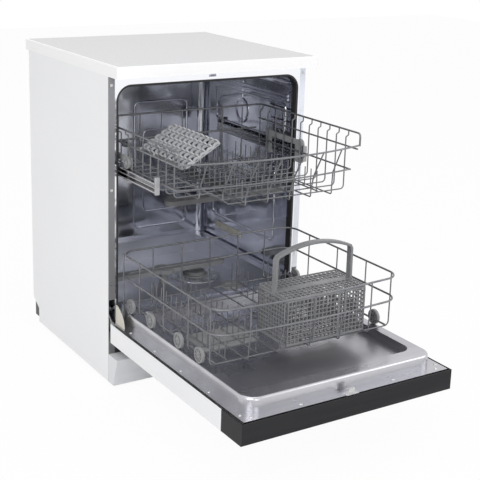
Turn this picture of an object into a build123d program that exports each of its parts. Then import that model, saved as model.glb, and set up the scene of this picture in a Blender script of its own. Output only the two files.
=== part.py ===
from build123d import *

import os
from math import atan2, cos, degrees, radians, sin, sqrt

os.makedirs("parts", exist_ok=True)

# Freestanding dishwasher, standing open: door down level, both racks drawn out over it.
# Millimetres. X runs across the front, Y from the front to the back, Z up from the floor.
# Sizes below are placed from the middle of the worktop; write() moves each finished piece so
# that the origin lies on the floor under the middle of the whole open machine.

# Cabinet
worktop_width = 598
worktop_depth = 600
worktop_thickness = 30
height = 850
side_reveal = 1
front_overhang = 53
rear_overhang = 21
foot_height = 8
sheet = 1.2
front_flange = 18
side_gap = 20
head_gap = 23
rear_gap = 15
notch_depth = 43
notch_low = 50
notch_high = 75

# Tub
tub_wall = 2
tub_corner = 42
rear_corner = 24
tub_bottom = 178
floor_drop = 26
track_top = 210
track_width = 24
track_edge = 14
rear_step = 26
rear_step_top = 215
gasket_depth = 24
gasket_thickness = 5

# Door, level when open
hinge_front = 5
hinge_z = 170
door_drop = 47.4
liner_rise = 5.6
door_start = 7
door_length = 647
fascia_length = 85
fascia_wall = 2.5
rim_start = 10
rim_end = 617
rim_height = 34.4
rim_reveal = 31
rim_corner = 38
rim_side = 31
rim_front = 45
basin_depth = 20
liner_sheet = 1.5
ear_radius = 60
pin_radius = 4
eye_radius = 6.5
running = 0.05
clearance = 0.3

# Racks
rim_wire = 5
cross_wire = 3.5
tine_wire = 3
weld = 0.3
lower_reach = 480
lower_depth = 477
lower_side_gap = 10.5
lower_rim = 363
lower_ring = 303
lower_corner = 42
lower_rise = 16
lower_base = 224.5
lower_joint = 240
wheel_radius = 19.5
wheel_width = 8
wheel_places = (-298, -408, -550, -648)
lower_uprights = (-262, -352, -479, -600, -700)
upper_side_gap = 14
upper_joggle = 12
upper_rim = 687
upper_front_wire = 657
upper_low_wire = 590
upper_base = 535
upper_shelf_base = 568
upper_pitch = 40
rail_length = 460
rail_top = 592
rail_height = 26
rail_sheet = 1.2
left_rail_reach = 199
right_rail_reach = 62
roller_radius = 15
roller_width = 8
roller_places = (-285, -140)

# Places worked out from the sizes
half_body = worktop_width / 2 - side_reveal
front_y = -worktop_depth / 2 + front_overhang
rear_y = worktop_depth / 2 - rear_overhang
body_top = height - worktop_thickness
tub_half = half_body - side_gap - tub_wall
tub_top = body_top - head_gap
tub_rear = rear_y - rear_gap - tub_wall
floor_z = tub_bottom - floor_drop + tub_wall
track_outer = tub_half - track_edge
track_inner = track_outer - track_width
hinge_y = front_y - hinge_front
door_bottom = hinge_z - door_drop
liner_top = hinge_z + liner_rise
rim_half = half_body - rim_reveal
rim_top = liner_top + rim_height
basin_floor = rim_top - basin_depth
door_tip = hinge_y - door_length
middle_of_open = (worktop_depth / 2 - door_tip) / 2 - worktop_depth / 2
wheel_x = track_outer - wheel_width / 2
wheel_z = track_top + wheel_radius + clearance
lower_half = tub_half - lower_side_gap
upper_half = tub_half - upper_side_gap
upper_body = upper_half - upper_joggle
lower_front = front_y - lower_reach
lower_rear = lower_front + lower_depth
upper_rear = -90
rail_bottom = rail_top - rail_height
rail_x = tub_half - 17
rail_width = 10.5
roller_z = rail_top + roller_radius + 0.2


def write(pieces, name):
    solids = [solid for piece in pieces for solid in piece.part.solids()]
    placed = Compound(solids).moved(Location((0, middle_of_open, 0)))
    placed.label = name
    export_step(placed, f"parts/{name}.step")
    print(name, len(placed.solids()))


def block(x, y, z, mode=Mode.ADD):
    """A box between two values on each axis."""
    with Locations(((x[0] + x[1]) / 2, (y[0] + y[1]) / 2, (z[0] + z[1]) / 2)):
        Box(x[1] - x[0], y[1] - y[0], z[1] - z[0], mode=mode)


def cut_up(whole, boxes):
    """The share of a part inside each box, so that each piece stays simple."""
    pieces = []
    for box in boxes:
        with BuildPart() as piece:
            add(whole.part)
            block(*box, mode=Mode.INTERSECT)
        pieces.append(piece)
    return tuple(pieces)


def bar(start, end, radius, mode=Mode.ADD):
    """A round bar between two points."""
    run = Vector(*end) - Vector(*start)
    with Locations(Plane(origin=start, z_dir=run).location):
        Cylinder(radius, run.length, align=(Align.CENTER, Align.CENTER, Align.MIN), mode=mode)


def wire(points, size, bend=None):
    """A bent round wire along the points, not yet part of anything."""
    with BuildLine(mode=Mode.PRIVATE) as route:
        if bend is None:
            Polyline(*points)
        else:
            FilletPolyline(*points, radius=bend)
    with BuildSketch(Plane(route.line @ 0, z_dir=route.line % 0), mode=Mode.PRIVATE) as section:
        Circle(size / 2)
    return sweep(section.sketch, path=route.line, transition=Transition.RIGHT, mode=Mode.PRIVATE)


def facing_front(y):
    """The plane at y whose sketches run in X and Z and extrude towards the front."""
    return Plane.XZ.offset(-y)


def facing_left(x):
    """The plane at x whose sketches run in Y and Z and extrude towards +X."""
    return Plane.YZ.offset(x)


def steps(first, last, count):
    return [first + (last - first) * n / (count - 1) for n in range(count)]


# Worktop

with BuildPart() as worktop:
    block(
        (-worktop_width / 2, worktop_width / 2),
        (-worktop_depth / 2, worktop_depth / 2),
        (body_top, height),
    )
    fillet(worktop.edges().filter_by(Axis.Z), radius=4)
    fillet(worktop.faces().sort_by(Axis.Z)[-1].edges(), radius=1.5)

# Side panels: sheet with a folded flange at the front, rear and top

hinge_window = (hinge_z - 22, hinge_z + ear_radius + 6)

with BuildPart() as side_panel_right:
    with BuildSketch(facing_left(half_body - sheet)):
        with BuildLine():
            Polyline(
                (front_y, foot_height),
                (rear_y - notch_depth, foot_height),
                (rear_y - notch_depth, notch_low),
                (rear_y - sheet, notch_high),
                (rear_y - sheet, body_top),
                (front_y, body_top),
                close=True,
            )
        make_face()
    extrude(amount=sheet)
    block((half_body - front_flange, half_body), (front_y, front_y + sheet), (foot_height, body_top))
    block((half_body - front_flange, half_body), (rear_y - 2 * sheet, rear_y - sheet), (notch_high, body_top))
    block(
        (half_body - front_flange, half_body),
        (front_y + 30, rear_y - sheet),
        (body_top - sheet, body_top),
    )
    block(
        (half_body - front_flange, half_body - sheet),
        (front_y, front_y + sheet),
        hinge_window,
        mode=Mode.SUBTRACT,
    )

with BuildPart() as side_panel_left:
    add(mirror(side_panel_right.part, about=Plane.YZ, mode=Mode.PRIVATE))

with BuildPart() as rear_panel:
    block((-half_body + 2, half_body - 2), (rear_y - sheet, rear_y), (notch_high, body_top - 2))
    for share in (0.3, 0.7):
        z = notch_high + share * (body_top - notch_high)
        block((-0.6 * half_body, 0.6 * half_body), (rear_y - 2 * sheet, rear_y + sheet), (z - 2, z + 2))

# Tub: a deep box open at the front and below, with a face frame round the opening


def tub_section(y, length, grow, mode=Mode.ADD):
    """The tub's section, its top corners rounded, drawn forwards from y."""
    with BuildSketch(facing_front(y)) as section:
        with Locations((0, (tub_bottom + tub_top + grow) / 2)):
            Rectangle(2 * (tub_half + grow), tub_top + grow - tub_bottom)
        fillet(section.vertices().group_by(Axis.Y)[-1], radius=tub_corner + grow)
    extrude(section.sketch, amount=length, mode=mode)


with BuildPart() as tub:
    tub_section(tub_rear + tub_wall, tub_rear + tub_wall - front_y - sheet, tub_wall)
    with BuildSketch(facing_front(front_y + liner_sheet)):
        with Locations((0, (tub_bottom + body_top - 0.5) / 2)):
            Rectangle(2 * (half_body - front_flange), body_top - 0.5 - tub_bottom)
    extrude(amount=liner_sheet)
    tub_section(tub_rear, tub_rear - front_y + 1, 0, mode=Mode.SUBTRACT)
    back = tub.faces().filter_by(Axis.Y).filter_by(lambda face: abs(face.center().Y - tub_rear) < 0.01)
    fillet(back.edges().filter_by(lambda edge: edge.center().Z > tub_bottom + 1), radius=rear_corner)
    for side in (-1, 1):
        with Locations((side * 121, tub_rear - 1, 434)):
            Box(176, 2, 428)
        with Locations((side * (tub_half - 1), 130, 690)):
            Box(2, 190, 90)

with BuildPart() as tub_floor:
    block(
        (-tub_half - tub_wall, tub_half + tub_wall),
        (front_y + liner_sheet, tub_rear + tub_wall),
        (tub_bottom - floor_drop, tub_bottom),
    )
    block(
        (-tub_half, tub_half),
        (front_y + liner_sheet + tub_wall, tub_rear),
        (floor_z, tub_bottom),
        mode=Mode.SUBTRACT,
    )
    track_start = front_y + 39
    track_end = tub_rear - 2.5
    for side in (-1, 1):
        edges = sorted((side * track_inner, side * track_outer))
        block(edges, (track_start, track_end), (floor_z, track_top))
    block((-track_inner, track_inner), (tub_rear - rear_step, tub_rear), (floor_z, rear_step_top))
    for side in (-1, 1):
        edges = sorted((side * (track_inner + tub_wall), side * (track_outer - tub_wall)))
        block(
            edges,
            (track_start + tub_wall, track_end - tub_wall),
            (tub_bottom - floor_drop - 1, track_top - tub_wall),
            mode=Mode.SUBTRACT,
        )
    block(
        (-track_inner + 2, track_inner - 2),
        (tub_rear - rear_step + tub_wall, tub_rear - tub_wall),
        (tub_bottom - floor_drop - 1, rear_step_top - tub_wall),
        mode=Mode.SUBTRACT,
    )
    sump_x, sump_y, sump_radius = 120, 30, 56
    hub_y = 5
    with Locations((sump_x, sump_y, floor_z)):
        Cylinder(sump_radius, 20, mode=Mode.SUBTRACT)
    with Locations((0, hub_y, floor_z)):
        Cylinder(13, 20, mode=Mode.SUBTRACT)
    salt_x, salt_y, salt_radius = 165, -110, 32
    with Locations((salt_x, salt_y, floor_z)):
        Cylinder(salt_radius - 4, 20, mode=Mode.SUBTRACT)

with BuildPart() as door_gasket:
    tub_section(front_y + gasket_depth, gasket_depth, 0)
    tub_section(front_y + gasket_depth, gasket_depth, -gasket_thickness, mode=Mode.SUBTRACT)
    block(
        (-tub_half, tub_half),
        (front_y - 1, front_y + gasket_depth + 1),
        (0, tub_bottom),
        mode=Mode.SUBTRACT,
    )

# Base tray, plinth and feet

tray_z = 20
tray_wall = 3
tray_half = half_body - sheet - 2
tray_front = front_y + 6
tray_rear = rear_y - 9
tray_height = 40
foot_places = [(x, y) for x in (-250, 250) for y in (front_y + 32, rear_y - 50)]

with BuildPart() as base_tray:
    block((-tray_half, tray_half), (tray_front, tray_rear), (tray_z, tray_z + tray_height))
    block(
        (-tray_half + tray_wall, tray_half - tray_wall),
        (tray_front + tray_wall, tray_rear - tray_wall),
        (tray_z + tray_wall, tray_z + tray_height),
        mode=Mode.SUBTRACT,
    )
    block(
        (-tray_half, tray_half),
        (tray_front, tray_front + tray_wall),
        (tray_z, tub_bottom - floor_drop - 0.5),
    )
    for side in (-1, 1):
        edges = sorted((side * tray_half, side * (tray_half - tray_wall)))
        block(edges, (tray_front, tray_front + 70), (tray_z, tub_bottom - floor_drop - 0.5))
        block(edges, (tray_rear - 90, tray_rear - 60), (tray_z, tub_bottom - floor_drop - 0.5))
    with Locations(*[(x, y, tray_z) for x, y in foot_places]):
        Cylinder(5.3, 60, mode=Mode.SUBTRACT)
    valve_x, drain_x, spout_z = -150, -225, 47
    bar((valve_x, tray_rear - 10, spout_z), (valve_x, tray_rear + 10, spout_z), 11.3, mode=Mode.SUBTRACT)
    bar((drain_x, tray_rear - 10, spout_z), (drain_x, tray_rear + 10, spout_z), 8.8, mode=Mode.SUBTRACT)

plinth_top = 86
plinth_front = 1 - worktop_depth / 2
plinth_foot = front_y - 31

with BuildPart() as plinth:
    with BuildSketch(facing_left(-half_body)):
        with BuildLine():
            Polyline(
                (front_y, foot_height),
                (plinth_foot, foot_height),
                (plinth_foot - 5, foot_height + 28),
                (plinth_front, plinth_top),
                (front_y, plinth_top),
                close=True,
            )
        make_face()
    extrude(amount=2 * half_body)
    with BuildSketch(facing_left(-half_body + 2)):
        with BuildLine():
            Polyline(
                (front_y, foot_height),
                (plinth_foot + 2.5, foot_height),
                (plinth_foot - 2.5, foot_height + 28),
                (plinth_front + 2.5, plinth_top - 2),
                (front_y, plinth_top - 2),
                close=True,
            )
        make_face()
    extrude(amount=2 * half_body - 4, mode=Mode.SUBTRACT)

with BuildPart() as levelling_feet:
    for x, y in foot_places:
        with Locations((x, y, foot_height / 2)):
            Cylinder(20, foot_height)
        bar((x, y, foot_height), (x, y, tray_z + 14), 5)
        with Locations((x, y, (foot_height + 4 + tray_z) / 2)):
            Cylinder(11, tray_z - foot_height - 4)

with BuildPart() as counterweight:
    block((-110, 245), (tray_rear - 82, tray_rear - tray_wall), (tray_z + tray_wall, tray_z + tray_height))
    fillet(counterweight.edges().filter_by(Axis.Z), radius=6)

# Water path

sump_top = tub_bottom - floor_drop
sump_wall = 3
nozzle_start = tray_rear + 4

with BuildPart() as sump:
    with Locations((sump_x, sump_y, sump_top)):
        Cylinder(sump_radius + 8, 3, align=(Align.CENTER, Align.CENTER, Align.MAX))
        Cylinder(sump_radius, 56, align=(Align.CENTER, Align.CENTER, Align.MAX))
    block((-14, sump_x), (hub_y - 14, hub_y + 30), (sump_top - 22, sump_top))
    with Locations((sump_x, sump_y, sump_top)):
        Cylinder(
            sump_radius - sump_wall,
            56 - sump_wall,
            align=(Align.CENTER, Align.CENTER, Align.MAX),
            mode=Mode.SUBTRACT,
        )
    with Locations((0, hub_y, sump_top)):
        Cylinder(12, 34, align=(Align.CENTER, Align.CENTER, Align.MIN))
        Cylinder(6, 54, align=(Align.CENTER, Align.CENTER, Align.MIN))

filter_radius = 34

with BuildPart() as filter_plate:
    with Locations((sump_x, sump_y, floor_z)):
        Cylinder(sump_radius + 22, 2, align=(Align.CENTER, Align.CENTER, Align.MIN))
        Cylinder(filter_radius + clearance, 10, mode=Mode.SUBTRACT)
    with Locations((sump_x, sump_y, floor_z)):
        with PolarLocations(sump_radius, 24):
            Box(14, 3, 10, mode=Mode.SUBTRACT)

with BuildPart() as filter_cylinder:
    with Locations((sump_x, sump_y, sump_top - 44)):
        Cylinder(filter_radius - 4, 60, align=(Align.CENTER, Align.CENTER, Align.MIN))
        Cylinder(filter_radius - 6, 50, align=(Align.CENTER, Align.CENTER, Align.MIN), mode=Mode.SUBTRACT)
    with Locations((sump_x, sump_y, floor_z + 2)):
        Cylinder(filter_radius + 5, 3, align=(Align.CENTER, Align.CENTER, Align.MIN))
    with Locations((sump_x, sump_y, floor_z + 12)):
        Box(46, 6, 16)
    with Locations((sump_x, sump_y, sump_top - 22)):
        with PolarLocations(filter_radius - 5, 8):
            Box(8, 8, 26, mode=Mode.SUBTRACT)

arm_z = sump_top + 38
arm_reach = 205


def spray_arm(x, y, z, reach, thickness, bore):
    """A flat hollow-looking arm with a row of jets on each side of its hub."""
    with BuildSketch(Plane.XY.offset(z)) as arm:
        with Locations((x, y)):
            SlotOverall(2 * reach, 38)
            Circle(30)
    extrude(arm.sketch, amount=thickness)
    with BuildSketch(Plane.XY.offset(z)) as holes:
        with Locations((x, y)):
            Circle(bore)
            for n, distance in enumerate(steps(60, reach - 24, 5)):
                with Locations((distance, 7 if n % 2 else -7), (-distance, -7 if n % 2 else 7)):
                    Circle(2.2)
    extrude(holes.sketch, amount=thickness, mode=Mode.SUBTRACT)


with BuildPart() as lower_spray_arm:
    spray_arm(0, hub_y, arm_z, arm_reach, 12, 6 + running)

with BuildPart() as circulation_pump:
    pump_z, pump_radius = 78, 38
    bar((-110, sump_y, pump_z), (50, sump_y, pump_z), pump_radius)
    bar((50, sump_y, sump_top - 40), (sump_x - sump_radius - clearance, sump_y, sump_top - 40), 12)
    bar((30, sump_y, pump_z), (50, sump_y, sump_top - 46), 18)
    bar((0, sump_y, pump_z), (0, tray_rear - 90, pump_z), 12)
    block((-80, 20), (sump_y - 24, sump_y + 24), (tray_z + tray_wall, pump_z - 10))

with BuildPart() as drain_pump:
    bar((drain_x, -60, spout_z + 8), (drain_x, 20, spout_z + 8), 26)
    block((drain_x - 20, drain_x + 20), (-50, 10), (tray_z + tray_wall, spout_z))
    bar((drain_x, 20, spout_z), (drain_x, nozzle_start, spout_z), 8.5)
    bar((drain_x, nozzle_start, spout_z), (drain_x, rear_y + 12, spout_z), 10)
    bar((drain_x, 40, spout_z), (drain_x, rear_y + 12, spout_z), 6.5, mode=Mode.SUBTRACT)

with BuildPart() as inlet_valve:
    block((valve_x - 22, valve_x + 22), (tray_rear - 60, tray_rear - 15), (tray_z + tray_wall, 92))
    bar((valve_x, tray_rear - 20, spout_z), (valve_x, nozzle_start, spout_z), 11)
    bar((valve_x, nozzle_start, spout_z), (valve_x, rear_y + 14, spout_z), 13.2)
    bar((valve_x, tray_rear - 10, spout_z), (valve_x, rear_y + 14, spout_z), 9, mode=Mode.SUBTRACT)

dock_z = 524

with BuildPart() as spray_feed_pipe:
    bar((0, tray_rear - 90, pump_z), (0, rear_y - 9, pump_z), 12)
    block((-18, 18), (tub_rear + tub_wall + 0.5, rear_y - 2 * sheet - 1), (pump_z - 10, dock_z + 16))
    bar((0, tub_rear - 9, dock_z), (0, tub_rear + tub_wall + 4, dock_z), 11)
    bar((0, tub_rear - 10, dock_z), (0, tub_rear + tub_wall + 6, dock_z), 8, mode=Mode.SUBTRACT)

with BuildPart() as tub_with_feed:
    add(tub.part)
    bar((0, tub_rear - 5, dock_z), (0, tub_rear + tub_wall + 1, dock_z), 11.3, mode=Mode.SUBTRACT)

tank_depth = (salt_y - 60, salt_y + 60)

with BuildPart() as softener_tank:
    block((110, 225), tank_depth, (tray_z + tray_wall, sump_top - 3))
    with Locations((salt_x, salt_y, sump_top - 3)):
        Cylinder(salt_radius - 5, 3 + tub_wall, align=(Align.CENTER, Align.CENTER, Align.MIN))
        Cylinder(salt_radius - 9, 80, mode=Mode.SUBTRACT)

with BuildPart() as salt_cap:
    with Locations((salt_x, salt_y, floor_z)):
        Cylinder(salt_radius, 7, align=(Align.CENTER, Align.CENTER, Align.MIN))
        Cylinder(salt_radius - 9 - clearance, 12, align=(Align.CENTER, Align.CENTER, Align.MAX))
    with Locations((salt_x, salt_y, floor_z + 11)):
        Box(48, 7, 8)

# Door catch, rail guides, hinge brackets, springs and screws

catch_z = tub_top + 11

with BuildPart() as door_catch:
    block((-24, 24), (front_y - 1, front_y), (catch_z - 8, catch_z + 8))
    block((-13, 13), (front_y, front_y + 16), (catch_z - 6, catch_z + 6))
    block((-11, 11), (front_y - 2, front_y + 14), (catch_z - 4, catch_z + 4), mode=Mode.SUBTRACT)

with BuildPart() as tub_with_front:
    add(tub_with_feed.part)
    block((-14, 14), (front_y - 1, front_y + 3), (catch_z - 7, catch_z + 7), mode=Mode.SUBTRACT)

guide_places = (front_y + 37, front_y + 222)

with BuildPart() as rail_guides:
    for y in guide_places:
        block(
            (rail_x + rail_sheet + 0.8, tub_half),
            (y - 11, y + 11),
            (rail_bottom + rail_sheet + clearance, rail_top - rail_sheet - clearance),
        )
    fillet(rail_guides.edges().filter_by(Axis.X), radius=5)
    mirror(about=Plane.YZ)

bracket_x = half_body - 11
bracket_thickness = 3
bracket_low = tray_front + tray_wall
arm_x = bracket_x + bracket_thickness + 1

with BuildPart() as hinge_brackets:
    with BuildSketch(facing_left(bracket_x)):
        with Locations((hinge_y, hinge_z)):
            Circle(eye_radius)
        with BuildLine():
            Polyline(
                (hinge_y, hinge_z - eye_radius),
                (bracket_low, hinge_z - eye_radius),
                (bracket_low, tray_z + tray_wall),
                (bracket_low + 26, tray_z + tray_wall),
                (bracket_low + 26, hinge_z - 16),
                (bracket_low + 8, hinge_z + eye_radius),
                (hinge_y, hinge_z + eye_radius),
                close=True,
            )
        make_face()
        with Locations((hinge_y, hinge_z)):
            Circle(pin_radius + running, mode=Mode.SUBTRACT)
    extrude(amount=bracket_thickness)
    block(
        (bracket_x - 14, bracket_x + bracket_thickness),
        (bracket_low, bracket_low + 26),
        (tray_z + tray_wall, tray_z + tray_wall + 4),
    )
    mirror(about=Plane.YZ)

tail_y, tail_z = hinge_y + 34, hinge_z + 30
anchor_y, anchor_z = hinge_y + 190, 66
spring_x = bracket_x - 3
spring_slack = 13
swing = radians(12)
swung_y = hinge_y + (tail_y - hinge_y) * cos(swing) + (tail_z - hinge_z) * sin(swing)
swung_z = hinge_z - (tail_y - hinge_y) * sin(swing) + (tail_z - hinge_z) * cos(swing)

with BuildPart() as door_springs:
    pull = Vector(0, anchor_y - tail_y, anchor_z - tail_z).normalized()
    bar(
        (spring_x, tail_y + 22 * pull.Y, tail_z + 22 * pull.Z),
        (spring_x, anchor_y - 8 * pull.Y, anchor_z - 8 * pull.Z),
        5,
    )
    slope = degrees(atan2(pull.Z, pull.Y))
    with BuildSketch(facing_left(spring_x - 1)):
        with Locations((tail_y + spring_slack / 2 * pull.Y, tail_z + spring_slack / 2 * pull.Z)):
            SlotCenterToCenter(spring_slack + 8, 16, rotation=slope)
        with Locations(((tail_y + swung_y) / 2, (tail_z + swung_z) / 2)):
            SlotCenterToCenter(
                sqrt((swung_y - tail_y) ** 2 + (swung_z - tail_z) ** 2),
                2 * (3 + clearance) + 1.2,
                rotation=degrees(atan2(swung_z - tail_z, swung_y - tail_y)),
                mode=Mode.SUBTRACT,
            )
    extrude(amount=2)
    with BuildSketch(facing_left(spring_x - 1)):
        with Locations((anchor_y, anchor_z)):
            Circle(11)
    extrude(amount=2)
    bar((spring_x, anchor_y, anchor_z), (tray_half - tray_wall, anchor_y, anchor_z), 4)
    block(
        (spring_x + 3, tray_half - tray_wall),
        (anchor_y - 6, anchor_y + 6),
        (tray_z + tray_wall, anchor_z),
    )
    mirror(about=Plane.YZ)

screw_radius = 4

with BuildPart() as cabinet_screws:
    for x in (-half_body + 8, half_body - 8):
        for z in (body_top - 22, body_top - 290, body_top - 540):
            bar((x, front_y, z), (x, front_y - 1.6, z), screw_radius)
    for x in (-half_body + 10, 0, half_body - 10):
        for z in (notch_high + 20, body_top - 30):
            bar((x, rear_y, z), (x, rear_y + 1.6, z), screw_radius)

# Rails for the upper rack: a channel open towards the wall, a stop cap on each end

cap_length = 8
cap_rise = 14
cap_drop = 3


def rail(side, front):
    """A rail whose front end stands at front, on the given side."""
    far = rail_x + rail_width
    for low, high in ((rail_bottom, rail_bottom + rail_sheet), (rail_top - rail_sheet, rail_top)):
        block(sorted((side * rail_x, side * far)), (front, front + rail_length), (low, high))
    block(
        sorted((side * rail_x, side * (rail_x + rail_sheet))),
        (front, front + rail_length),
        (rail_bottom, rail_top),
    )
    for y in (front, front + rail_length - cap_length):
        block(
            sorted((side * (rail_x - 0.4), side * far)),
            (y, y + cap_length),
            (rail_bottom - cap_drop, rail_top + cap_rise),
        )


with BuildPart() as rail_left:
    rail(-1, front_y - left_rail_reach)

with BuildPart() as rail_right:
    rail(1, front_y - right_rail_reach)

# Door: outer pan, raised liner, fascia

skin_end = door_tip + fascia_length
skin_start = hinge_y - door_start

with BuildPart() as door_outer_panel:
    block((-half_body, half_body), (skin_end, skin_start), (door_bottom, liner_top - liner_sheet))
    block(
        (-half_body + sheet, half_body - sheet),
        (skin_end - 1, skin_start - sheet),
        (door_bottom + sheet, liner_top),
        mode=Mode.SUBTRACT,
    )
    for side in (-1, 1):
        block(
            sorted((side * (bracket_x - 8), side * (half_body - sheet))),
            (skin_start - sheet - 1, skin_start + 1),
            (hinge_z - 34, liner_top),
            mode=Mode.SUBTRACT,
        )

recess_half = 60
recess = (door_tip + 17, door_tip + 49)
recess_depth = 21
button_places = {"power": -220, "programme": 170, "start": 225}
button_radius = 9
button_y = door_tip + 34
window_x = (78, 138)
window_y = (button_y - 10, button_y + 10)

with BuildPart() as control_fascia:
    block((-half_body, half_body), (door_tip, skin_end), (door_bottom, liner_top - liner_sheet))
    fillet(control_fascia.edges().filter_by(Axis.X).group_by(Axis.Y)[0].sort_by(Axis.Z)[0], radius=3)
    block(
        (-half_body + fascia_wall, half_body - fascia_wall),
        (door_tip + fascia_wall, skin_end + 1),
        (door_bottom + fascia_wall, liner_top),
        mode=Mode.SUBTRACT,
    )
    block(
        (-recess_half - 2, recess_half + 2),
        (recess[0] - 2, recess[1] + 2),
        (door_bottom, door_bottom + recess_depth + 2),
    )
    block(
        (-recess_half, recess_half),
        recess,
        (door_bottom - 1, door_bottom + recess_depth),
        mode=Mode.SUBTRACT,
    )
    for x in button_places.values():
        with Locations((x, button_y, door_bottom)):
            Cylinder(button_radius + clearance, 12, mode=Mode.SUBTRACT)
    block(window_x, window_y, (door_bottom - 1, door_bottom + 5), mode=Mode.SUBTRACT)


def button(x):
    with Locations((x, button_y, door_bottom - 1.5)):
        Cylinder(button_radius, 8, align=(Align.CENTER, Align.CENTER, Align.MIN))
    with Locations((x, button_y, door_bottom + fascia_wall + 0.2)):
        Cylinder(button_radius + 3, 2, align=(Align.CENTER, Align.CENTER, Align.MIN))


with BuildPart() as power_button:
    button(button_places["power"])

with BuildPart() as programme_button:
    button(button_places["programme"])

with BuildPart() as start_button:
    button(button_places["start"])

with BuildPart() as display_window:
    block(
        (window_x[0], window_x[1]), (window_y[0], window_y[1]), (door_bottom + 0.3, door_bottom + fascia_wall)
    )
    block(
        (window_x[0] - 4, window_x[1] + 4),
        (window_y[0] - 4, window_y[1] + 4),
        (door_bottom + fascia_wall, door_bottom + fascia_wall + 2),
    )

rim_low_y = hinge_y - rim_end
rim_high_y = hinge_y - rim_start
basin_half = rim_half - rim_side
basin_low_y = rim_low_y + rim_front
basin_high_y = rim_high_y - 42
dispenser_x = (-190, -30)
dispenser_y = (-560, -456)


def plate(x, y, radius):
    """A rectangle between two values on each axis, with rounded corners."""
    with Locations(((x[0] + x[1]) / 2, (y[0] + y[1]) / 2)):
        RectangleRounded(x[1] - x[0], y[1] - y[0], radius)


def level_form(x, y, radius, z, mode=Mode.ADD):
    """A rounded rectangle of sheet stock between two heights."""
    with BuildSketch(Plane.XY.offset(z[0])) as outline:
        plate(x, y, radius)
    extrude(outline.sketch, amount=z[1] - z[0], mode=mode)


with BuildPart() as door_liner:
    level_form((-rim_half, rim_half), (rim_low_y, rim_high_y), rim_corner, (liner_top - liner_sheet, rim_top))
    fillet(door_liner.faces().sort_by(Axis.Z)[-1].edges(), radius=7)
    block(
        (-half_body + 8, half_body - 8),
        (door_tip + 6, skin_start),
        (liner_top - liner_sheet, liner_top),
    )
    level_form(
        (-rim_half + liner_sheet, rim_half - liner_sheet),
        (rim_low_y + liner_sheet, rim_high_y - liner_sheet),
        rim_corner - liner_sheet,
        (liner_top - liner_sheet - 1, rim_top - 9),
        mode=Mode.SUBTRACT,
    )
    level_form(
        (-basin_half - liner_sheet, basin_half + liner_sheet),
        (basin_low_y - liner_sheet, basin_high_y + liner_sheet),
        30 + liner_sheet,
        (basin_floor - liner_sheet, rim_top - 9),
    )
    level_form(
        (-basin_half, basin_half),
        (basin_low_y, basin_high_y),
        30,
        (basin_floor, rim_top + 1),
        mode=Mode.SUBTRACT,
    )
    level_form(
        (-rim_half + 9, -basin_half - liner_sheet),
        (basin_low_y, basin_high_y),
        4,
        (rim_top - 9, rim_top - liner_sheet),
        mode=Mode.SUBTRACT,
    )
    level_form(
        (basin_half + liner_sheet, rim_half - 9),
        (basin_low_y, basin_high_y),
        4,
        (rim_top - 9, rim_top - liner_sheet),
        mode=Mode.SUBTRACT,
    )
    level_form(
        (-basin_half, basin_half),
        (rim_low_y + 9, basin_low_y - liner_sheet),
        4,
        (rim_top - 9, rim_top - liner_sheet),
        mode=Mode.SUBTRACT,
    )
    level_form(
        (-basin_half, basin_half),
        (basin_high_y + liner_sheet, rim_high_y - 9),
        4,
        (rim_top - 9, rim_top - liner_sheet),
        mode=Mode.SUBTRACT,
    )
    for side in (-1, 1):
        with BuildSketch(facing_left(side * (rim_half - 1) - 1)):
            with Locations((hinge_y, hinge_z)):
                Circle(ear_radius)
            with Locations((hinge_y - door_start - 1 + 50, hinge_z)):
                Rectangle(100, 200, mode=Mode.SUBTRACT)
            with Locations((hinge_y, liner_top - 50)):
                Rectangle(200, 100, mode=Mode.SUBTRACT)
        extrude(amount=2)
    level_form(
        (dispenser_x[0] + 3, dispenser_x[1] - 3),
        (dispenser_y[0] + 3, dispenser_y[1] - 3),
        8,
        (basin_floor - 5, basin_floor + 1),
        mode=Mode.SUBTRACT,
    )
    latch_y = door_tip + 11
    block((-15, 15), (latch_y - 6, latch_y + 7), (liner_top - 3, liner_top + 1), mode=Mode.SUBTRACT)

# Dispenser: a body let into the basin floor, a lid that slides on it, a round cap

lid_rise = 9
lid_x = (dispenser_x[0] + 10, dispenser_x[0] + 74)
cap_x, cap_y, cap_radius = dispenser_x[1] - 34, (dispenser_y[0] + dispenser_y[1]) / 2, 20

with BuildPart() as dispenser_body:
    level_form(dispenser_x, dispenser_y, 12, (basin_floor, basin_floor + 4))
    level_form(
        (dispenser_x[0] + 3.5, dispenser_x[1] - 3.5),
        (dispenser_y[0] + 3.5, dispenser_y[1] - 3.5),
        8,
        (basin_floor - 30, basin_floor),
    )
    level_form(
        (lid_x[0] + 5, lid_x[1] - 5),
        (dispenser_y[0] + 15, dispenser_y[0] + 51),
        6,
        (basin_floor - 26, basin_floor + 5),
        mode=Mode.SUBTRACT,
    )
    with Locations((cap_x, cap_y, basin_floor + 4)):
        Cylinder(cap_radius - 5, 24, mode=Mode.SUBTRACT)
    block(
        (lid_x[0], lid_x[0] + 3),
        (dispenser_y[0] + 8, dispenser_y[1] - 8),
        (basin_floor + 4, basin_floor + 9),
    )
    block(
        (lid_x[1] - 3, lid_x[1]),
        (dispenser_y[0] + 8, dispenser_y[1] - 8),
        (basin_floor + 4, basin_floor + 9),
    )

with BuildPart() as dispenser_lid:
    level_form(
        (lid_x[0] + 3 + clearance, lid_x[1] - 3 - clearance),
        (dispenser_y[0] + 9, dispenser_y[0] + 57),
        3,
        (basin_floor + 4.1, basin_floor + lid_rise),
    )
    block(
        (lid_x[0] + 16, lid_x[1] - 16),
        (dispenser_y[0] + 14, dispenser_y[0] + 20),
        (basin_floor + 8, basin_floor + 12),
    )

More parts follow.
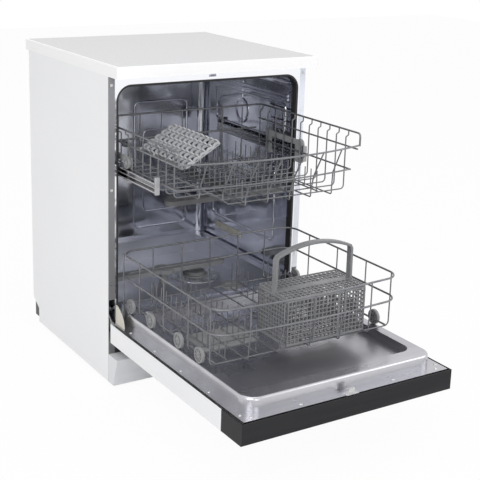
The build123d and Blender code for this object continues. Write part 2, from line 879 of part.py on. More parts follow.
with BuildPart() as rinse_aid_cap:
    with Locations((cap_x, cap_y, basin_floor + 4.1)):
        Cylinder(cap_radius, 4, align=(Align.CENTER, Align.CENTER, Align.MIN))
        Cylinder(cap_radius - 5 - clearance, 8, align=(Align.CENTER, Align.CENTER, Align.MAX))
    with Locations((cap_x, cap_y, basin_floor + 10)):
        Box(30, 5, 4)

with BuildPart() as door_latch:
    block((-14, 14), (latch_y - 5, latch_y + 6), (liner_top - liner_sheet - 12, liner_top + 2))
    block((-18, 18), (latch_y - 8, latch_y + 9), (liner_top, liner_top + 1.2))
    block((-9, 9), (latch_y - 3, latch_y), (liner_top + 2, liner_top + 13))
    block((-9, 9), (latch_y - 3, latch_y + 4), (liner_top + 10, liner_top + 13))

with BuildPart() as hinge_arms:
    with BuildSketch(facing_left(arm_x)):
        with Locations((hinge_y, hinge_z)):
            Circle(eye_radius + 1)
        with Locations((hinge_y - 60, hinge_z - 22)):
            Rectangle(98, 40)
        with BuildLine():
            Polyline(
                (hinge_y - 5, hinge_z + 6),
                (hinge_y + 5, hinge_z - 6),
                (hinge_y - 20, hinge_z - 36),
                (hinge_y - 30, hinge_z - 2),
                close=True,
            )
        make_face()
        with BuildLine():
            Polyline(
                (hinge_y - 4, hinge_z + 5),
                (hinge_y + 5, hinge_z - 5),
                (tail_y + 4, tail_z - 4),
                (tail_y - 4, tail_z + 4),
                close=True,
            )
        make_face()
        with Locations((tail_y, tail_z)):
            Circle(5.6)
    extrude(amount=3)
    block((arm_x, half_body - sheet - clearance), (hinge_y - 95, hinge_y - 25), (hinge_z - 38, hinge_z - 12))
    bar((bracket_x - 2, hinge_y, hinge_z), (arm_x + 1, hinge_y, hinge_z), pin_radius)
    bar((spring_x - 4, tail_y, tail_z), (arm_x + 1, tail_y, tail_z), 3)
    mirror(about=Plane.YZ)

cover_x = bracket_x - 6

with BuildPart() as hinge_covers:
    with BuildSketch(facing_left(cover_x)):
        with Locations((hinge_y, hinge_z)):
            Circle(ear_radius - 4)
        with Locations((hinge_y - door_start - 1 + 50, hinge_z)):
            Rectangle(100, 200, mode=Mode.SUBTRACT)
        with Locations((hinge_y, liner_top - 50)):
            Rectangle(200, 100, mode=Mode.SUBTRACT)
    extrude(amount=2.5)
    mirror(about=Plane.YZ)

with BuildPart() as door_screws:
    for x in steps(-half_body + 34, half_body - 34, 5):
        if abs(x) > 20:
            bar((x, door_tip + 20, liner_top), (x, door_tip + 20, liner_top + 1.6), screw_radius)
    for side in (-1, 1):
        for y in steps(hinge_y - 88, door_tip + 39, 5):
            bar(
                (side * (half_body - 18), y, liner_top),
                (side * (half_body - 18), y, liner_top + 1.6),
                screw_radius,
            )

# Lower rack: two side grids, a front and a rear grid with the rounded corners, and a bottom grid.
# The rings and the bottom frame are thick wire, the uprights and cross wires thin.

upright_x = lower_half - (rim_wire + cross_wire) / 2 + weld
upright_front = lower_front + (rim_wire + cross_wire) / 2 - weld
upright_rear = lower_rear - (rim_wire + cross_wire) / 2 + weld
long_z = lower_base + cross_wire - weld
long_x = (-172, -85, 2, 90, 178)
axle_start = wheel_x - wheel_width / 2 - 5
runner_z = lower_base + (rim_wire + cross_wire) / 2 - weld
axle_radius = 4
fold_x = 150
comb_wire = 4
comb_z = lower_base + (cross_wire + comb_wire) / 2
fold_z = lower_base + (cross_wire + comb_wire) / 2 + clearance
clip_places = (-479, -352)


def lower_bow(x):
    """How far the front of the rings stands out at x, straight between three points."""
    share = abs(x) / (lower_half - lower_corner)
    return lower_rise * (1 - 0.25 * share / 0.5) if share < 0.5 else lower_rise * 1.5 * (1 - share)


def lower_ends():
    """The two rings, and the uprights of the front and rear down to the bottom."""
    high = lower_rear
    turn = lower_half - lower_corner
    pieces = []
    for z in (lower_rim, lower_ring):
        for side in (-1, 1):
            edge = side * lower_half
            front = [(side * x, lower_front - lower_bow(x), z) for x in (0, turn / 2, turn)]
            middle = (edge, (lower_front + high) / 2, z)
            corner = (edge, front[-1][1], z)
            pieces.append(wire([*front[:2], corner, middle], rim_wire, [500, lower_corner]))
            pieces.append(wire([middle, (edge, high, z), (0, high, z)], rim_wire, lower_corner))
    for x in long_x:
        pieces.append(
            wire(
                [
                    (x, upright_front, lower_joint),
                    (x, upright_front, lower_joint + 12),
                    (x, upright_front - lower_bow(x), lower_ring - 12),
                    (x, upright_front - lower_bow(x), lower_rim),
                ],
                cross_wire,
            )
        )
        pieces.append(wire([(x, upright_rear, lower_joint), (x, upright_rear, lower_rim)], cross_wire))
    return pieces


def lower_sides():
    """The uprights of both sides, and the runner wires that hold the wheels."""
    pieces = []
    for side in (-1, 1):
        inside = side * upright_x
        runner = side * axle_start
        ends = [(runner, y, runner_z) for y in (lower_uprights[-1] - 4, lower_uprights[0] + 4)]
        pieces.append(wire(ends, rim_wire))
        for y in lower_uprights:
            pieces.append(wire([(inside, y, lower_joint), (inside, y, lower_rim)], cross_wire))
    return pieces


def cradle(ends, low, size, bend):
    """A wire across the bottom of a rack, turned up at both ends to meet the uprights."""
    first, last = ends
    return wire([(*first, lower_joint), (*first, low), (*last, low), (*last, lower_joint)], size, bend)


def lower_bottom():
    bend = 12
    pieces = [
        cradle(((-upright_x, y), (upright_x, y)), lower_base, cross_wire, bend) for y in lower_uprights
    ]
    inner_bend = bend - cross_wire + weld
    pieces += [
        cradle(((x, upright_front), (x, upright_rear)), long_z, cross_wire, inner_bend) for x in long_x
    ]
    return pieces


tine_height = 72


def comb(x, first, last, count, z, size, base):
    """A row of upright tines on a base wire that runs from front to back."""
    pieces = [wire([(x, first - 6, z), (x, last + 6, z)], base)]
    for y in steps(first, last, count):
        pieces.append(wire([(x, y, z), (x, y, z + size)], tine_wire))
    return pieces


lower_comb_rows = ((-215, -690, -330), (-130, -690, -330), (45, -540, -300))


lower_tines = []
for x, first, last in lower_comb_rows:
    with BuildPart() as row:
        add(comb(x, first, last, round((last - first) / 26) + 1, comb_z, tine_height, comb_wire))
    lower_tines.append(row)

with BuildPart() as lower_frame:
    add(lower_ends() + lower_sides() + lower_bottom())
    for side in (-1, 1):
        runner = side * axle_start
        plate = sorted((runner, runner + side * 3))
        for y in wheel_places:
            block(plate, (y - 9, y + 9), (runner_z - 2, wheel_z + 9))
            bar((runner, y, wheel_z), (side * (wheel_x + wheel_width / 2), y, wheel_z), axle_radius)
    for y in clip_places:
        block((fold_x - 4, fold_x + 4), (y - 3, y + 3), (lower_base, fold_z + 4))
    for y in clip_places:
        bar((fold_x, y - 4, fold_z), (fold_x, y + 4, fold_z), comb_wire / 2 + running, mode=Mode.SUBTRACT)

with BuildPart() as folding_tines:
    add(comb(fold_x, -540, -318, 9, fold_z, tine_height - 4, comb_wire))

with BuildPart() as wheel_shape:
    with BuildSketch(facing_left(-wheel_width / 2)):
        Circle(wheel_radius)
        Circle(axle_radius + running, mode=Mode.SUBTRACT)
        with PolarLocations(12, 6):
            Circle(3.2, mode=Mode.SUBTRACT)
    extrude(amount=wheel_width)

wheel_pairs = []
for y in wheel_places:
    with BuildPart() as pair:
        for side in (-1, 1):
            with Locations((side * wheel_x, y, wheel_z)):
                add(wheel_shape.part)
    wheel_pairs.append(pair)

# Cutlery basket with an arched handle and two lid flaps

basket_x = (-56, 176)
basket_y = (-707, -581)
basket_z = (long_z + cross_wire / 2 + clearance, 346)
basket_wall = 2.5
handle_y = (basket_y[0] + basket_y[1]) / 2
handle_half = 9
handle_top = 461

with BuildPart() as whole_basket:
    block(basket_x, basket_y, basket_z)
    fillet(whole_basket.edges().filter_by(Axis.Z), radius=5)
    block(
        (basket_x[0] + basket_wall, basket_x[1] - basket_wall),
        (basket_y[0] + basket_wall, basket_y[1] - basket_wall),
        (basket_z[0] + basket_wall, basket_z[1] + 1),
        mode=Mode.SUBTRACT,
    )
    middle_x = (basket_x[0] + basket_x[1]) / 2
    with BuildSketch(facing_front(basket_y[1] + 1)):
        with Locations((middle_x, (basket_z[0] + basket_z[1]) / 2)):
            with GridLocations(16, 20, 13, 5):
                Rectangle(9, 13)
    extrude(amount=basket_y[1] - basket_y[0] + 2, mode=Mode.SUBTRACT)
    with BuildSketch(facing_left(basket_x[0] - 1)):
        with Locations((handle_y, (basket_z[0] + basket_z[1]) / 2)):
            with GridLocations(17, 20, 6, 5):
                Rectangle(9, 13)
    extrude(amount=basket_x[1] - basket_x[0] + 2, mode=Mode.SUBTRACT)
    with BuildSketch(Plane.XY.offset(basket_z[0] - 1)):
        with Locations((middle_x, handle_y)):
            with GridLocations(17, 17, 12, 6):
                Rectangle(9, 9)
    extrude(amount=basket_wall + 2, mode=Mode.SUBTRACT)
    for x in steps(basket_x[0] + basket_wall / 2, basket_x[1] - basket_wall / 2, 4)[1:3]:
        block(
            (x - 1, x + 1),
            (basket_y[0] + 1, basket_y[1] - 1),
            (basket_z[0] + 1, basket_z[1] - 6),
        )
    block(
        (basket_x[0] + 1, basket_x[1] - 1),
        (handle_y - handle_half, handle_y + handle_half),
        (basket_z[1] - 6, basket_z[1] + 4),
    )
    with BuildSketch(facing_front(handle_y + handle_half)):
        with BuildLine():
            ThreePointArc(
                (basket_x[0] + 3, handle_top - 24), (middle_x, handle_top), (basket_x[1] - 3, handle_top - 24)
            )
            Line((basket_x[1] - 3, handle_top - 24), (basket_x[1], basket_z[1] - 6))
            Line((basket_x[1], basket_z[1] - 6), (basket_x[1] - 8, basket_z[1] - 6))
            Line((basket_x[1] - 8, basket_z[1] - 6), (basket_x[1] - 11, handle_top - 31))
            ThreePointArc(
                (basket_x[1] - 11, handle_top - 31), (middle_x, handle_top - 8), (basket_x[0] + 11, handle_top - 31)
            )
            Line((basket_x[0] + 11, handle_top - 31), (basket_x[0] + 8, basket_z[1] - 6))
            Line((basket_x[0] + 8, basket_z[1] - 6), (basket_x[0], basket_z[1] - 6))
            Line((basket_x[0], basket_z[1] - 6), (basket_x[0] + 3, handle_top - 24))
        make_face()
    extrude(amount=2 * handle_half)

# The basket as floor, four walls, two dividers and the handle on its top bar
basket_low = basket_z[0] + basket_wall
basket_high = basket_z[1] - 6
inner_x = (basket_x[0] + basket_wall, basket_x[1] - basket_wall)
inner_y = (basket_y[0] + basket_wall, basket_y[1] - basket_wall)
wall_z = (basket_low, basket_high)
basket_pieces = cut_up(
    whole_basket,
    [
        (basket_x, basket_y, (basket_z[0], basket_low)),
        (basket_x, (basket_y[0], inner_y[0]), wall_z),
        (basket_x, (inner_y[1], basket_y[1]), wall_z),
        ((basket_x[0], inner_x[0]), inner_y, wall_z),
        ((inner_x[1], basket_x[1]), inner_y, wall_z),
        ((inner_x[0], middle_x), inner_y, wall_z),
        ((middle_x, inner_x[1]), inner_y, wall_z),
        (basket_x, basket_y, (basket_high, handle_top + 1)),
    ],
)


def lid_flap(y, z, hinge_line):
    """A slotted flap over one half of the basket, with a round edge on its hinge line."""
    across = (basket_x[0] + 0.5, basket_x[1] - 0.5)
    middle_z = (z[0] + z[1]) / 2
    block(across, y, z)
    bar((across[0], hinge_line, middle_z), (across[1], hinge_line, middle_z), (z[1] - z[0]) / 2)
    with BuildSketch(Plane.XY.offset(z[0] - 1)) as slots:
        with Locations((middle_x, (y[0] + y[1]) / 2)):
            with GridLocations(15, 13, 14, 3):
                Rectangle(9, 8)
    extrude(slots.sketch, amount=z[1] - z[0] + 2, mode=Mode.SUBTRACT)


flap_z = (basket_z[1] + clearance, basket_z[1] + 4)
flap_hinge = handle_half + clearance + (flap_z[1] - flap_z[0]) / 2

with BuildPart() as basket_flap_front:
    lid_flap((basket_y[0], handle_y - flap_hinge), flap_z, handle_y - flap_hinge)

with BuildPart() as basket_flap_rear:
    lid_flap((handle_y + flap_hinge, basket_y[1]), flap_z, handle_y + flap_hinge)

# Upper rack. Its front wires bow forwards; the bottom is high on the left, under the cup shelf.

side_x = upper_half - (rim_wire + cross_wire) / 2 + weld
joggle_z = upper_rim - 11
front_corner = -545
bow_rise = 40
low_bow = 24
low_corner = -520
shelf_z = 648
upper_joint_right = 556
upper_joint_left = 580
upper_rows = [upper_rear - 12 - upper_pitch * n for n in range(11)]
front_x = [-195 + 65 * n for n in range(7)]
base_front = upper_rows[-1] - 22
rear_wire = upper_rear + rim_wire / 2
rear_line = rear_wire - (rim_wire + cross_wire) / 2 + weld
side_wire = 4.6
high_wire = 4.6
low_wire = 4.2
rod_wire = 4
side_rail = upper_body + (side_wire + cross_wire) / 2 - weld
slope_x = (-150, -100)


def bow(x, half, corner, rise):
    """Where a bowed wire stands at x: it runs through (±half, corner) and stands out by rise."""
    radius = (half * half + rise * rise) / (2 * rise)
    return corner - rise + radius - sqrt(radius * radius - x * x)


def bowed_wire(half, corner, rise, z, size):
    with BuildLine(mode=Mode.PRIVATE) as route:
        ThreePointArc((-half, corner, z), (0, corner - rise, z), (half, corner, z))
    with BuildSketch(Plane(route.line @ 0, z_dir=route.line % 0), mode=Mode.PRIVATE) as section:
        Circle(size / 2)
    return sweep(section.sketch, path=route.line, mode=Mode.PRIVATE)


def upper_rim_wire():
    """The rim round both sides and the rear, turned down at the front corners."""
    low = upper_front_wire - rim_wire / 2
    edge = upper_half
    return wire(
        [
            (-edge, front_corner, low),
            (-edge, front_corner, upper_rim),
            (-edge, rear_wire, upper_rim),
            (edge, rear_wire, upper_rim),
            (edge, front_corner, upper_rim),
            (edge, front_corner, low),
        ],
        rim_wire,
        9,
    )


def upper_side(side, joint):
    """A side grid: two rails, and uprights that step inwards under the rim."""
    body = side * upper_body
    top_x = side * side_x
    pieces = []
    for z, end in ((shelf_z, front_corner - 2), (upper_low_wire, low_corner - 2.3)):
        pieces.append(wire([(side * side_rail, upper_rear, z), (side * side_rail, end, z)], side_wire))
    for y in upper_rows:
        pieces.append(
            wire(
                [(top_x, y, upper_rim), (top_x, y, joggle_z), (body, y, joggle_z - 4), (body, y, joint)],
                cross_wire,
                3,
            )
        )
    return pieces


def base_height(x):
    """The height of the bottom's cross wires at x."""
    if x < slope_x[0]:
        return upper_shelf_base
    if x < slope_x[1]:
        share = (x - slope_x[0]) / (slope_x[1] - slope_x[0])
        return upper_shelf_base + (upper_base - upper_shelf_base) * share
    return upper_base


def upper_ends():
    """The bowed front wires, the straight rear wires and the uprights between them."""
    pieces = [
        upper_rim_wire(),
        bowed_wire(upper_half, front_corner, bow_rise, upper_front_wire, high_wire),
        bowed_wire(side_rail, low_corner, low_bow, upper_low_wire, low_wire),
        wire([(-upper_body + 4, rear_wire, 620), (upper_body - 4, rear_wire, 620)], rim_wire),
    ]
    for x in front_x:
        top = bow(x, upper_half, front_corner, bow_rise) + (high_wire + cross_wire) / 2 - weld
        low = bow(x, side_rail, low_corner, low_bow) + (low_wire + cross_wire) / 2 - weld
        up = base_height(x) + 8
        pieces.append(
            wire(
                [(x, top, upper_front_wire), (x, low, upper_low_wire), (x, base_front, up + 6), (x, base_front, up)],
                cross_wire,
            )
        )
        pieces.append(wire([(x, rear_line, up), (x, rear_line, upper_rim)], cross_wire))
    return pieces


def upper_bottom():
    pieces = []
    for y in upper_rows:
        pieces.append(
            wire(
                [
                    (-upper_body, y, upper_joint_left),
                    (-upper_body, y, upper_shelf_base),
                    (slope_x[0], y, upper_shelf_base),
                    (slope_x[1], y, upper_base),
                    (upper_body, y, upper_base),
                    (upper_body, y, upper_joint_right),
                ],
                cross_wire,
                10,
            )
        )
    for x in front_x:
        z = base_height(x) - cross_wire + weld
        up = base_height(x) + 8
        route = [(x, base_front, up), (x, base_front, z), (x, rear_line, z), (x, rear_line, up)]
        pieces.append(wire(route, cross_wire, 5))
    return pieces


upper_combs = (-60, 15, 90, 165)


upper_tines = []
for x in upper_combs:
    with BuildPart() as row:
        add(comb(x, -500, -110, 16, upper_base + cross_wire, 52, cross_wire))
    upper_tines.append(row)


# The cup shelf turns on a rod along the left side

shelf_x = -upper_body + 7.5
shelf_tilt = 30
shelf_y = (-537, -312)
shelf_reach = 107
shelf_thickness = 3.5
rod_length = (shelf_y[0] - 6, shelf_y[1] + 6)


def shelf_rod():
    ends = [(-side_rail, rod_length[0], shelf_z), (shelf_x, rod_length[0], shelf_z)]
    ends += [(shelf_x, rod_length[1], shelf_z), (-side_rail, rod_length[1], shelf_z)]
    return [wire(ends, rod_wire, 2.5)]


with BuildPart() as upper_frame:
    add(upper_side(-1, upper_joint_left) + upper_side(1, upper_joint_right) + upper_ends() + shelf_rod())

# The frame as left side, right side, front and rear
left_cut = shelf_x + rod_wire
right_cut = upper_body - cross_wire
frame_y = (-700, 0)
frame_z = (400, 800)
upper_frame_pieces = cut_up(
    upper_frame,
    [
        ((-300, left_cut), frame_y, frame_z),
        ((right_cut, 300), frame_y, frame_z),
        ((left_cut, right_cut), (frame_y[0], -300), frame_z),
        ((left_cut, right_cut), (-300, frame_y[1]), frame_z),
    ],
)

with BuildPart() as upper_grid:
    add(upper_bottom())

shelf_plane = Plane(
    origin=(shelf_x, (shelf_y[0] + shelf_y[1]) / 2, shelf_z),
    x_dir=(cos(radians(shelf_tilt)), 0, sin(radians(shelf_tilt))),
    z_dir=(-sin(radians(shelf_tilt)), 0, cos(radians(shelf_tilt))),
)
shelf_length = shelf_y[1] - shelf_y[0]

with BuildPart() as cup_shelf:
    with BuildSketch(shelf_plane.offset(-shelf_thickness / 2)):
        with Locations((shelf_reach / 2, 0)):
            RectangleRounded(shelf_reach, shelf_length, 3)
        with Locations((shelf_reach / 2 + 3, 0)):
            with GridLocations(18, 26, 5, 8):
                Rectangle(12, 17, mode=Mode.SUBTRACT)
    extrude(amount=shelf_thickness)
    bar((shelf_x, shelf_y[0], shelf_z), (shelf_x, shelf_y[1], shelf_z), 4.6)
    bar(
        (shelf_x, shelf_y[0] - 1, shelf_z),
        (shelf_x, shelf_y[1] + 1, shelf_z),
        2 + running,
        mode=Mode.SUBTRACT,
    )

# Wheel brackets of the upper rack: a plate beside the rail with a lip under it

bracket_face = rail_x - 0.5
bracket_back = side_rail + side_wire / 2 + clearance
roller_x = rail_x + 1 + roller_width / 2

with BuildPart() as upper_wheel_brackets:
    for y in roller_places:
        block((bracket_back, bracket_face), (y - 14, y + 14), (rail_bottom - 8, roller_z + 14))
        block((bracket_back, rail_x + 7), (y - 14, y + 14), (rail_bottom - 8, rail_bottom - clearance - 0.2))
        bar((bracket_back, y, roller_z), (roller_x + roller_width / 2, y, roller_z), 3)
    block((bracket_back, bracket_face), (roller_places[0], roller_places[1]), (roller_z - 2, roller_z + 14))
    mirror(about=Plane.YZ)


def roller(side, y):
    with BuildPart() as wheel:
        with Locations((side * roller_x, y, roller_z)):
            with Locations(Rotation(0, 90, 0)):
                Cylinder(roller_radius, roller_width)
                Cylinder(3 + running, roller_width + 2, mode=Mode.SUBTRACT)
    return wheel


# Upper spray arm under the rack, and its feed duct

duct_z = (upper_base - 21, upper_base - 7.5)
upper_hub_y = -330
upper_arm_z = duct_z[0] - 16

with BuildPart() as upper_spray_duct:
    block((-13, 13), (upper_hub_y - 18, upper_rear + 2), duct_z)
    bar((0, upper_hub_y, upper_arm_z - 4), (0, upper_hub_y, duct_z[0] + 1), 6)
    with Locations((0, upper_hub_y, upper_arm_z - 4)):
        Cylinder(10, 3, align=(Align.CENTER, Align.CENTER, Align.MAX))
    for y in (upper_rows[1], upper_rows[5]):
        for x in (-9, 9):
            block((x - 2.5, x + 2.5), (y - 5, y + 5), (duct_z[1], upper_base - cross_wire / 2 - clearance))

with BuildPart() as upper_spray_arm:
    spray_arm(0, upper_hub_y, upper_arm_z, 180, 12, 6 + running)

# Write every piece


finished = {
    "worktop": worktop,
    "side_panel_left": side_panel_left,
    "side_panel_right": side_panel_right,
    "rear_panel": rear_panel,
    "tub": tub_with_front,
    "tub_floor": tub_floor,
    "door_gasket": door_gasket,
    "base_tray": base_tray,
    "plinth": plinth,
    "levelling_feet": levelling_feet,
    "counterweight": counterweight,
    "sump": sump,
    "filter_plate": filter_plate,
    "filter_cylinder": filter_cylinder,
    "lower_spray_arm": lower_spray_arm,
    "circulation_pump": circulation_pump,
    "drain_pump": drain_pump,
    "inlet_valve": inlet_valve,
    "spray_feed_pipe": spray_feed_pipe,
    "softener_tank": softener_tank,
    "salt_cap": salt_cap,
    "door_catch": door_catch,
    "rail_guides": rail_guides,
    "hinge_brackets": hinge_brackets,
    "door_springs": door_springs,
    "cabinet_screws": cabinet_screws,
    "rail_left": rail_left,
    "rail_right": rail_right,
    "door_outer_panel": door_outer_panel,
    "control_fascia": control_fascia,
    "power_button": power_button,
    "programme_button": programme_button,
    "start_button": start_button,
    "display_window": display_window,
    "door_liner": door_liner,
    "dispenser_body": dispenser_body,
    "dispenser_lid": dispenser_lid,
    "rinse_aid_cap": rinse_aid_cap,
    "door_latch": door_latch,
    "hinge_arms": hinge_arms,
    "hinge_covers": hinge_covers,
    "door_screws": door_screws,
    "lower_rack": (lower_frame, *lower_tines),
    "folding_tines": folding_tines,
    "cutlery_basket": basket_pieces,
    "basket_flap_front": basket_flap_front,
    "basket_flap_rear": basket_flap_rear,
    "upper_rack": (*upper_frame_pieces, upper_grid, *upper_tines),
    "cup_shelf": cup_shelf,
    "upper_wheel_brackets": upper_wheel_brackets,
    "upper_wheel_left_front": roller(-1, roller_places[0]),
    "upper_wheel_left_rear": roller(-1, roller_places[1]),
    "upper_wheel_right_front": roller(1, roller_places[0]),
    "upper_wheel_right_rear": roller(1, roller_places[1]),
    "upper_spray_duct": upper_spray_duct,
    "upper_spray_arm": upper_spray_arm,
}
for n, pair in enumerate(wheel_pairs):
    finished[f"lower_wheels_{n + 1}"] = pair

for name, piece in finished.items():
    write(piece if isinstance(piece, tuple) else (piece,), name)
print("pieces", len(finished))
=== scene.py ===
import math

import bmesh
import bpy
from mathutils import Matrix, Vector


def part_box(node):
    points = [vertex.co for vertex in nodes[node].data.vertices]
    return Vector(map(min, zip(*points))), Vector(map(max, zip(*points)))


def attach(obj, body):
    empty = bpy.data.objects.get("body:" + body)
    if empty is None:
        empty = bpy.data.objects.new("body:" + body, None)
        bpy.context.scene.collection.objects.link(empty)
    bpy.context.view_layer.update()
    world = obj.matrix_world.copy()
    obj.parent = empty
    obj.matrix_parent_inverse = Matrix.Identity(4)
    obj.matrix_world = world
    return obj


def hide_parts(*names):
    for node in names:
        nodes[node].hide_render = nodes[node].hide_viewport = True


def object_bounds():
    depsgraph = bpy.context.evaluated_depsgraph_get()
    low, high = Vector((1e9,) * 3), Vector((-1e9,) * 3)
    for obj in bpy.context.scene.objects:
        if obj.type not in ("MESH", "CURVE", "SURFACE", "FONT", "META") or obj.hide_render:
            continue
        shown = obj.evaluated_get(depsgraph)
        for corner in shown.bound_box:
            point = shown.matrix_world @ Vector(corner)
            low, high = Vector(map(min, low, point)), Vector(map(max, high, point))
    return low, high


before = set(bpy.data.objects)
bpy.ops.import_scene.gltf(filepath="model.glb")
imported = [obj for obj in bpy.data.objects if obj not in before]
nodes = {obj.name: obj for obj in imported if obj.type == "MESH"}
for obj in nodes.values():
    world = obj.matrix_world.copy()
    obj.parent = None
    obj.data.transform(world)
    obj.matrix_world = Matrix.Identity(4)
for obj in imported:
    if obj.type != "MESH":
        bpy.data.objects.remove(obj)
cadLow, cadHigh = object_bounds()
bpy.context.scene.view_settings.view_transform = "Standard"
print("frame loaded:", len(nodes), "nodes")

# camera, where the photograph was taken from
cameraFacts = {
    "place": (-1.4213, -2.3149, 1.2268),
    "azimuth": -0.570033,
    "elevation": 0.259041,
    "roll": 0.031501,
    "lens": 80.01,
    "sensor": 36,
    "shiftY": -0.1,
    "clipEnd": 50,
}


def placeCamera(facts):
    az, el, roll = facts["azimuth"], facts["elevation"], facts["roll"]
    back = Vector((math.sin(az) * math.cos(el), -math.cos(az) * math.cos(el), math.sin(el)))
    levelRight = Vector((0, 0, 1)).cross(back).normalized()
    levelUp = back.cross(levelRight)
    right = levelRight * math.cos(roll) + levelUp * math.sin(roll)
    up = levelUp * math.cos(roll) - levelRight * math.sin(roll)
    data = bpy.data.cameras.new("camera")
    data.lens = facts["lens"]
    data.sensor_width = facts["sensor"]
    data.shift_y = facts["shiftY"]
    data.clip_end = facts["clipEnd"]
    holder = bpy.data.objects.new("camera", data)
    turn = Matrix((right, up, back)).transposed()
    holder.matrix_world = Matrix.Translation(facts["place"]) @ turn.to_4x4()
    bpy.context.scene.collection.objects.link(holder)
    bpy.context.scene.camera = holder


placeCamera(cameraFacts)
print("camera placed")

# studio: white floor and surroundings, four soft lamps and a soft world
studio = {
    "floorHalf": 8.0,
    "floorColour": (0.86, 0.86, 0.86, 1),
    "floorRoughness": 0.7,
    "floorShine": 0.2,
    "floorWhite": 0.95,  # share of plain white that the floor shows the camera
    "worldLight": 0.62,
    "lamps": (
        ("keyLamp", (-2.6, -2.4, 3.0), 2.2, 64),
        ("fillLamp", (2.8, -1.8, 2.2), 2.4, 26),
        ("frontLamp", (-0.5, -3.6, 1.3), 1.4, 13),
        ("topLamp", (0.0, 0.4, 3.4), 2.0, 14),
    ),
    "aim": (0, 0.1, 0.45),
}


def mathNode(tree, operation, a, b, clamp=False):
    node = tree.nodes.new("ShaderNodeMath")
    node.operation = operation
    node.use_clamp = clamp
    for k, value in enumerate((a, b)):
        if isinstance(value, (int, float)):
            node.inputs[k].default_value = value
        else:
            tree.links.new(value, node.inputs[k])
    return node.outputs[0]


def seenDirectly(tree):
    # one where the camera, a reflection or a see-through surface looks at it
    path = tree.nodes.new("ShaderNodeLightPath")
    first = mathNode(tree, "ADD", path.outputs["Is Camera Ray"], path.outputs["Is Glossy Ray"])
    return mathNode(tree, "ADD", first, path.outputs["Is Transmission Ray"], True)


def makeWorld(facts):
    world = bpy.data.worlds.new("studioWorld")
    bpy.context.scene.world = world
    world.use_nodes = True
    tree = world.node_tree
    soft = tree.nodes["Background"]
    soft.inputs["Color"].default_value = (1, 1, 1, 1)
    soft.inputs["Strength"].default_value = facts["worldLight"]
    white = tree.nodes.new("ShaderNodeBackground")
    white.inputs["Color"].default_value = (1, 1, 1, 1)
    white.inputs["Strength"].default_value = 1
    mix = tree.nodes.new("ShaderNodeMixShader")
    tree.links.new(seenDirectly(tree), mix.inputs["Fac"])
    tree.links.new(soft.outputs[0], mix.inputs[1])
    tree.links.new(white.outputs[0], mix.inputs[2])
    tree.links.new(mix.outputs[0], tree.nodes["World Output"].inputs["Surface"])


def makeFloor(facts):
    bm = bmesh.new()
    bmesh.ops.create_grid(bm, x_segments=2, y_segments=2, size=facts["floorHalf"])
    mesh = bpy.data.meshes.new("floor")
    bm.to_mesh(mesh)
    bm.free()
    floor = bpy.data.objects.new("floor", mesh)
    bpy.context.scene.collection.objects.link(floor)
    mat = bpy.data.materials.new("paleFloor")
    mat.use_nodes = True
    tree = mat.node_tree
    shader = tree.nodes["Principled BSDF"]
    shader.inputs["Base Color"].default_value = facts["floorColour"]
    shader.inputs["Roughness"].default_value = facts["floorRoughness"]
    shader.inputs["Specular IOR Level"].default_value = facts["floorShine"]
    glow = tree.nodes.new("ShaderNodeEmission")
    share = mathNode(tree, "MULTIPLY", seenDirectly(tree), facts["floorWhite"])
    mix = tree.nodes.new("ShaderNodeMixShader")
    tree.links.new(share, mix.inputs["Fac"])
    tree.links.new(shader.outputs[0], mix.inputs[1])
    tree.links.new(glow.outputs[0], mix.inputs[2])
    tree.links.new(mix.outputs[0], tree.nodes["Material Output"].inputs["Surface"])
    mesh.materials.append(mat)


def makeLamps(facts):
    for name, place, size, power in facts["lamps"]:
        data = bpy.data.lights.new(name, "AREA")
        data.shape = "SQUARE"
        data.size = size
        data.energy = power
        lamp = bpy.data.objects.new(name, data)
        lamp.location = place
        aim = Vector(facts["aim"]) - Vector(place)
        lamp.rotation_mode = "QUATERNION"
        lamp.rotation_quaternion = aim.to_track_quat("-Z", "Y")
        bpy.context.scene.collection.objects.link(lamp)


makeWorld(studio)
makeFloor(studio)
makeLamps(studio)
print("studio ready")


# shared effects, each a node group with named sockets
def newGroup(name, inputs, outputs):
    tree = bpy.data.node_groups.new(name, "ShaderNodeTree")
    addSocket = tree.interface.new_socket
    for label, kind, value in inputs:
        socket = addSocket(name=label, in_out="INPUT", socket_type="NodeSocket" + kind)
        socket.default_value = value
    for label, kind in outputs:
        addSocket(name=label, in_out="OUTPUT", socket_type="NodeSocket" + kind)
    return tree, tree.nodes.new("NodeGroupInput"), tree.nodes.new("NodeGroupOutput")


def blendColours(tree, factor, first, second):
    node = tree.nodes.new("ShaderNodeMix")
    node.data_type = "RGBA"
    tree.links.new(factor, node.inputs[0])
    tree.links.new(first, node.inputs[6])
    tree.links.new(second, node.inputs[7])
    return node.outputs[2]


def stretchedPlace(tree, stretch):
    place = tree.nodes.new("ShaderNodeTexCoord")
    mapped = tree.nodes.new("ShaderNodeMapping")
    tree.links.new(place.outputs["Object"], mapped.inputs["Vector"])
    tree.links.new(stretch, mapped.inputs["Scale"])
    return mapped.outputs["Vector"]


def spreadRoughness(tree, start, mask, end):
    # the roughness of the surface, raised and lowered by half of the spread where the mask says
    change = mathNode(tree, "MULTIPLY", mathNode(tree, "SUBTRACT", mask, 0.5), start.outputs["Spread"])
    rough = mathNode(tree, "ADD", start.outputs["Roughness"], change, True)
    tree.links.new(rough, end.inputs["Roughness"])


driftEdges = (0.35, 0.65)  # values of the noise at which the first and the second colour are full
rubbedEdges = (0.5, 0.62)  # pointiness at which rubbing starts and is full


def setRange(ramp, edges):
    ramp.inputs["From Min"].default_value, ramp.inputs["From Max"].default_value = edges


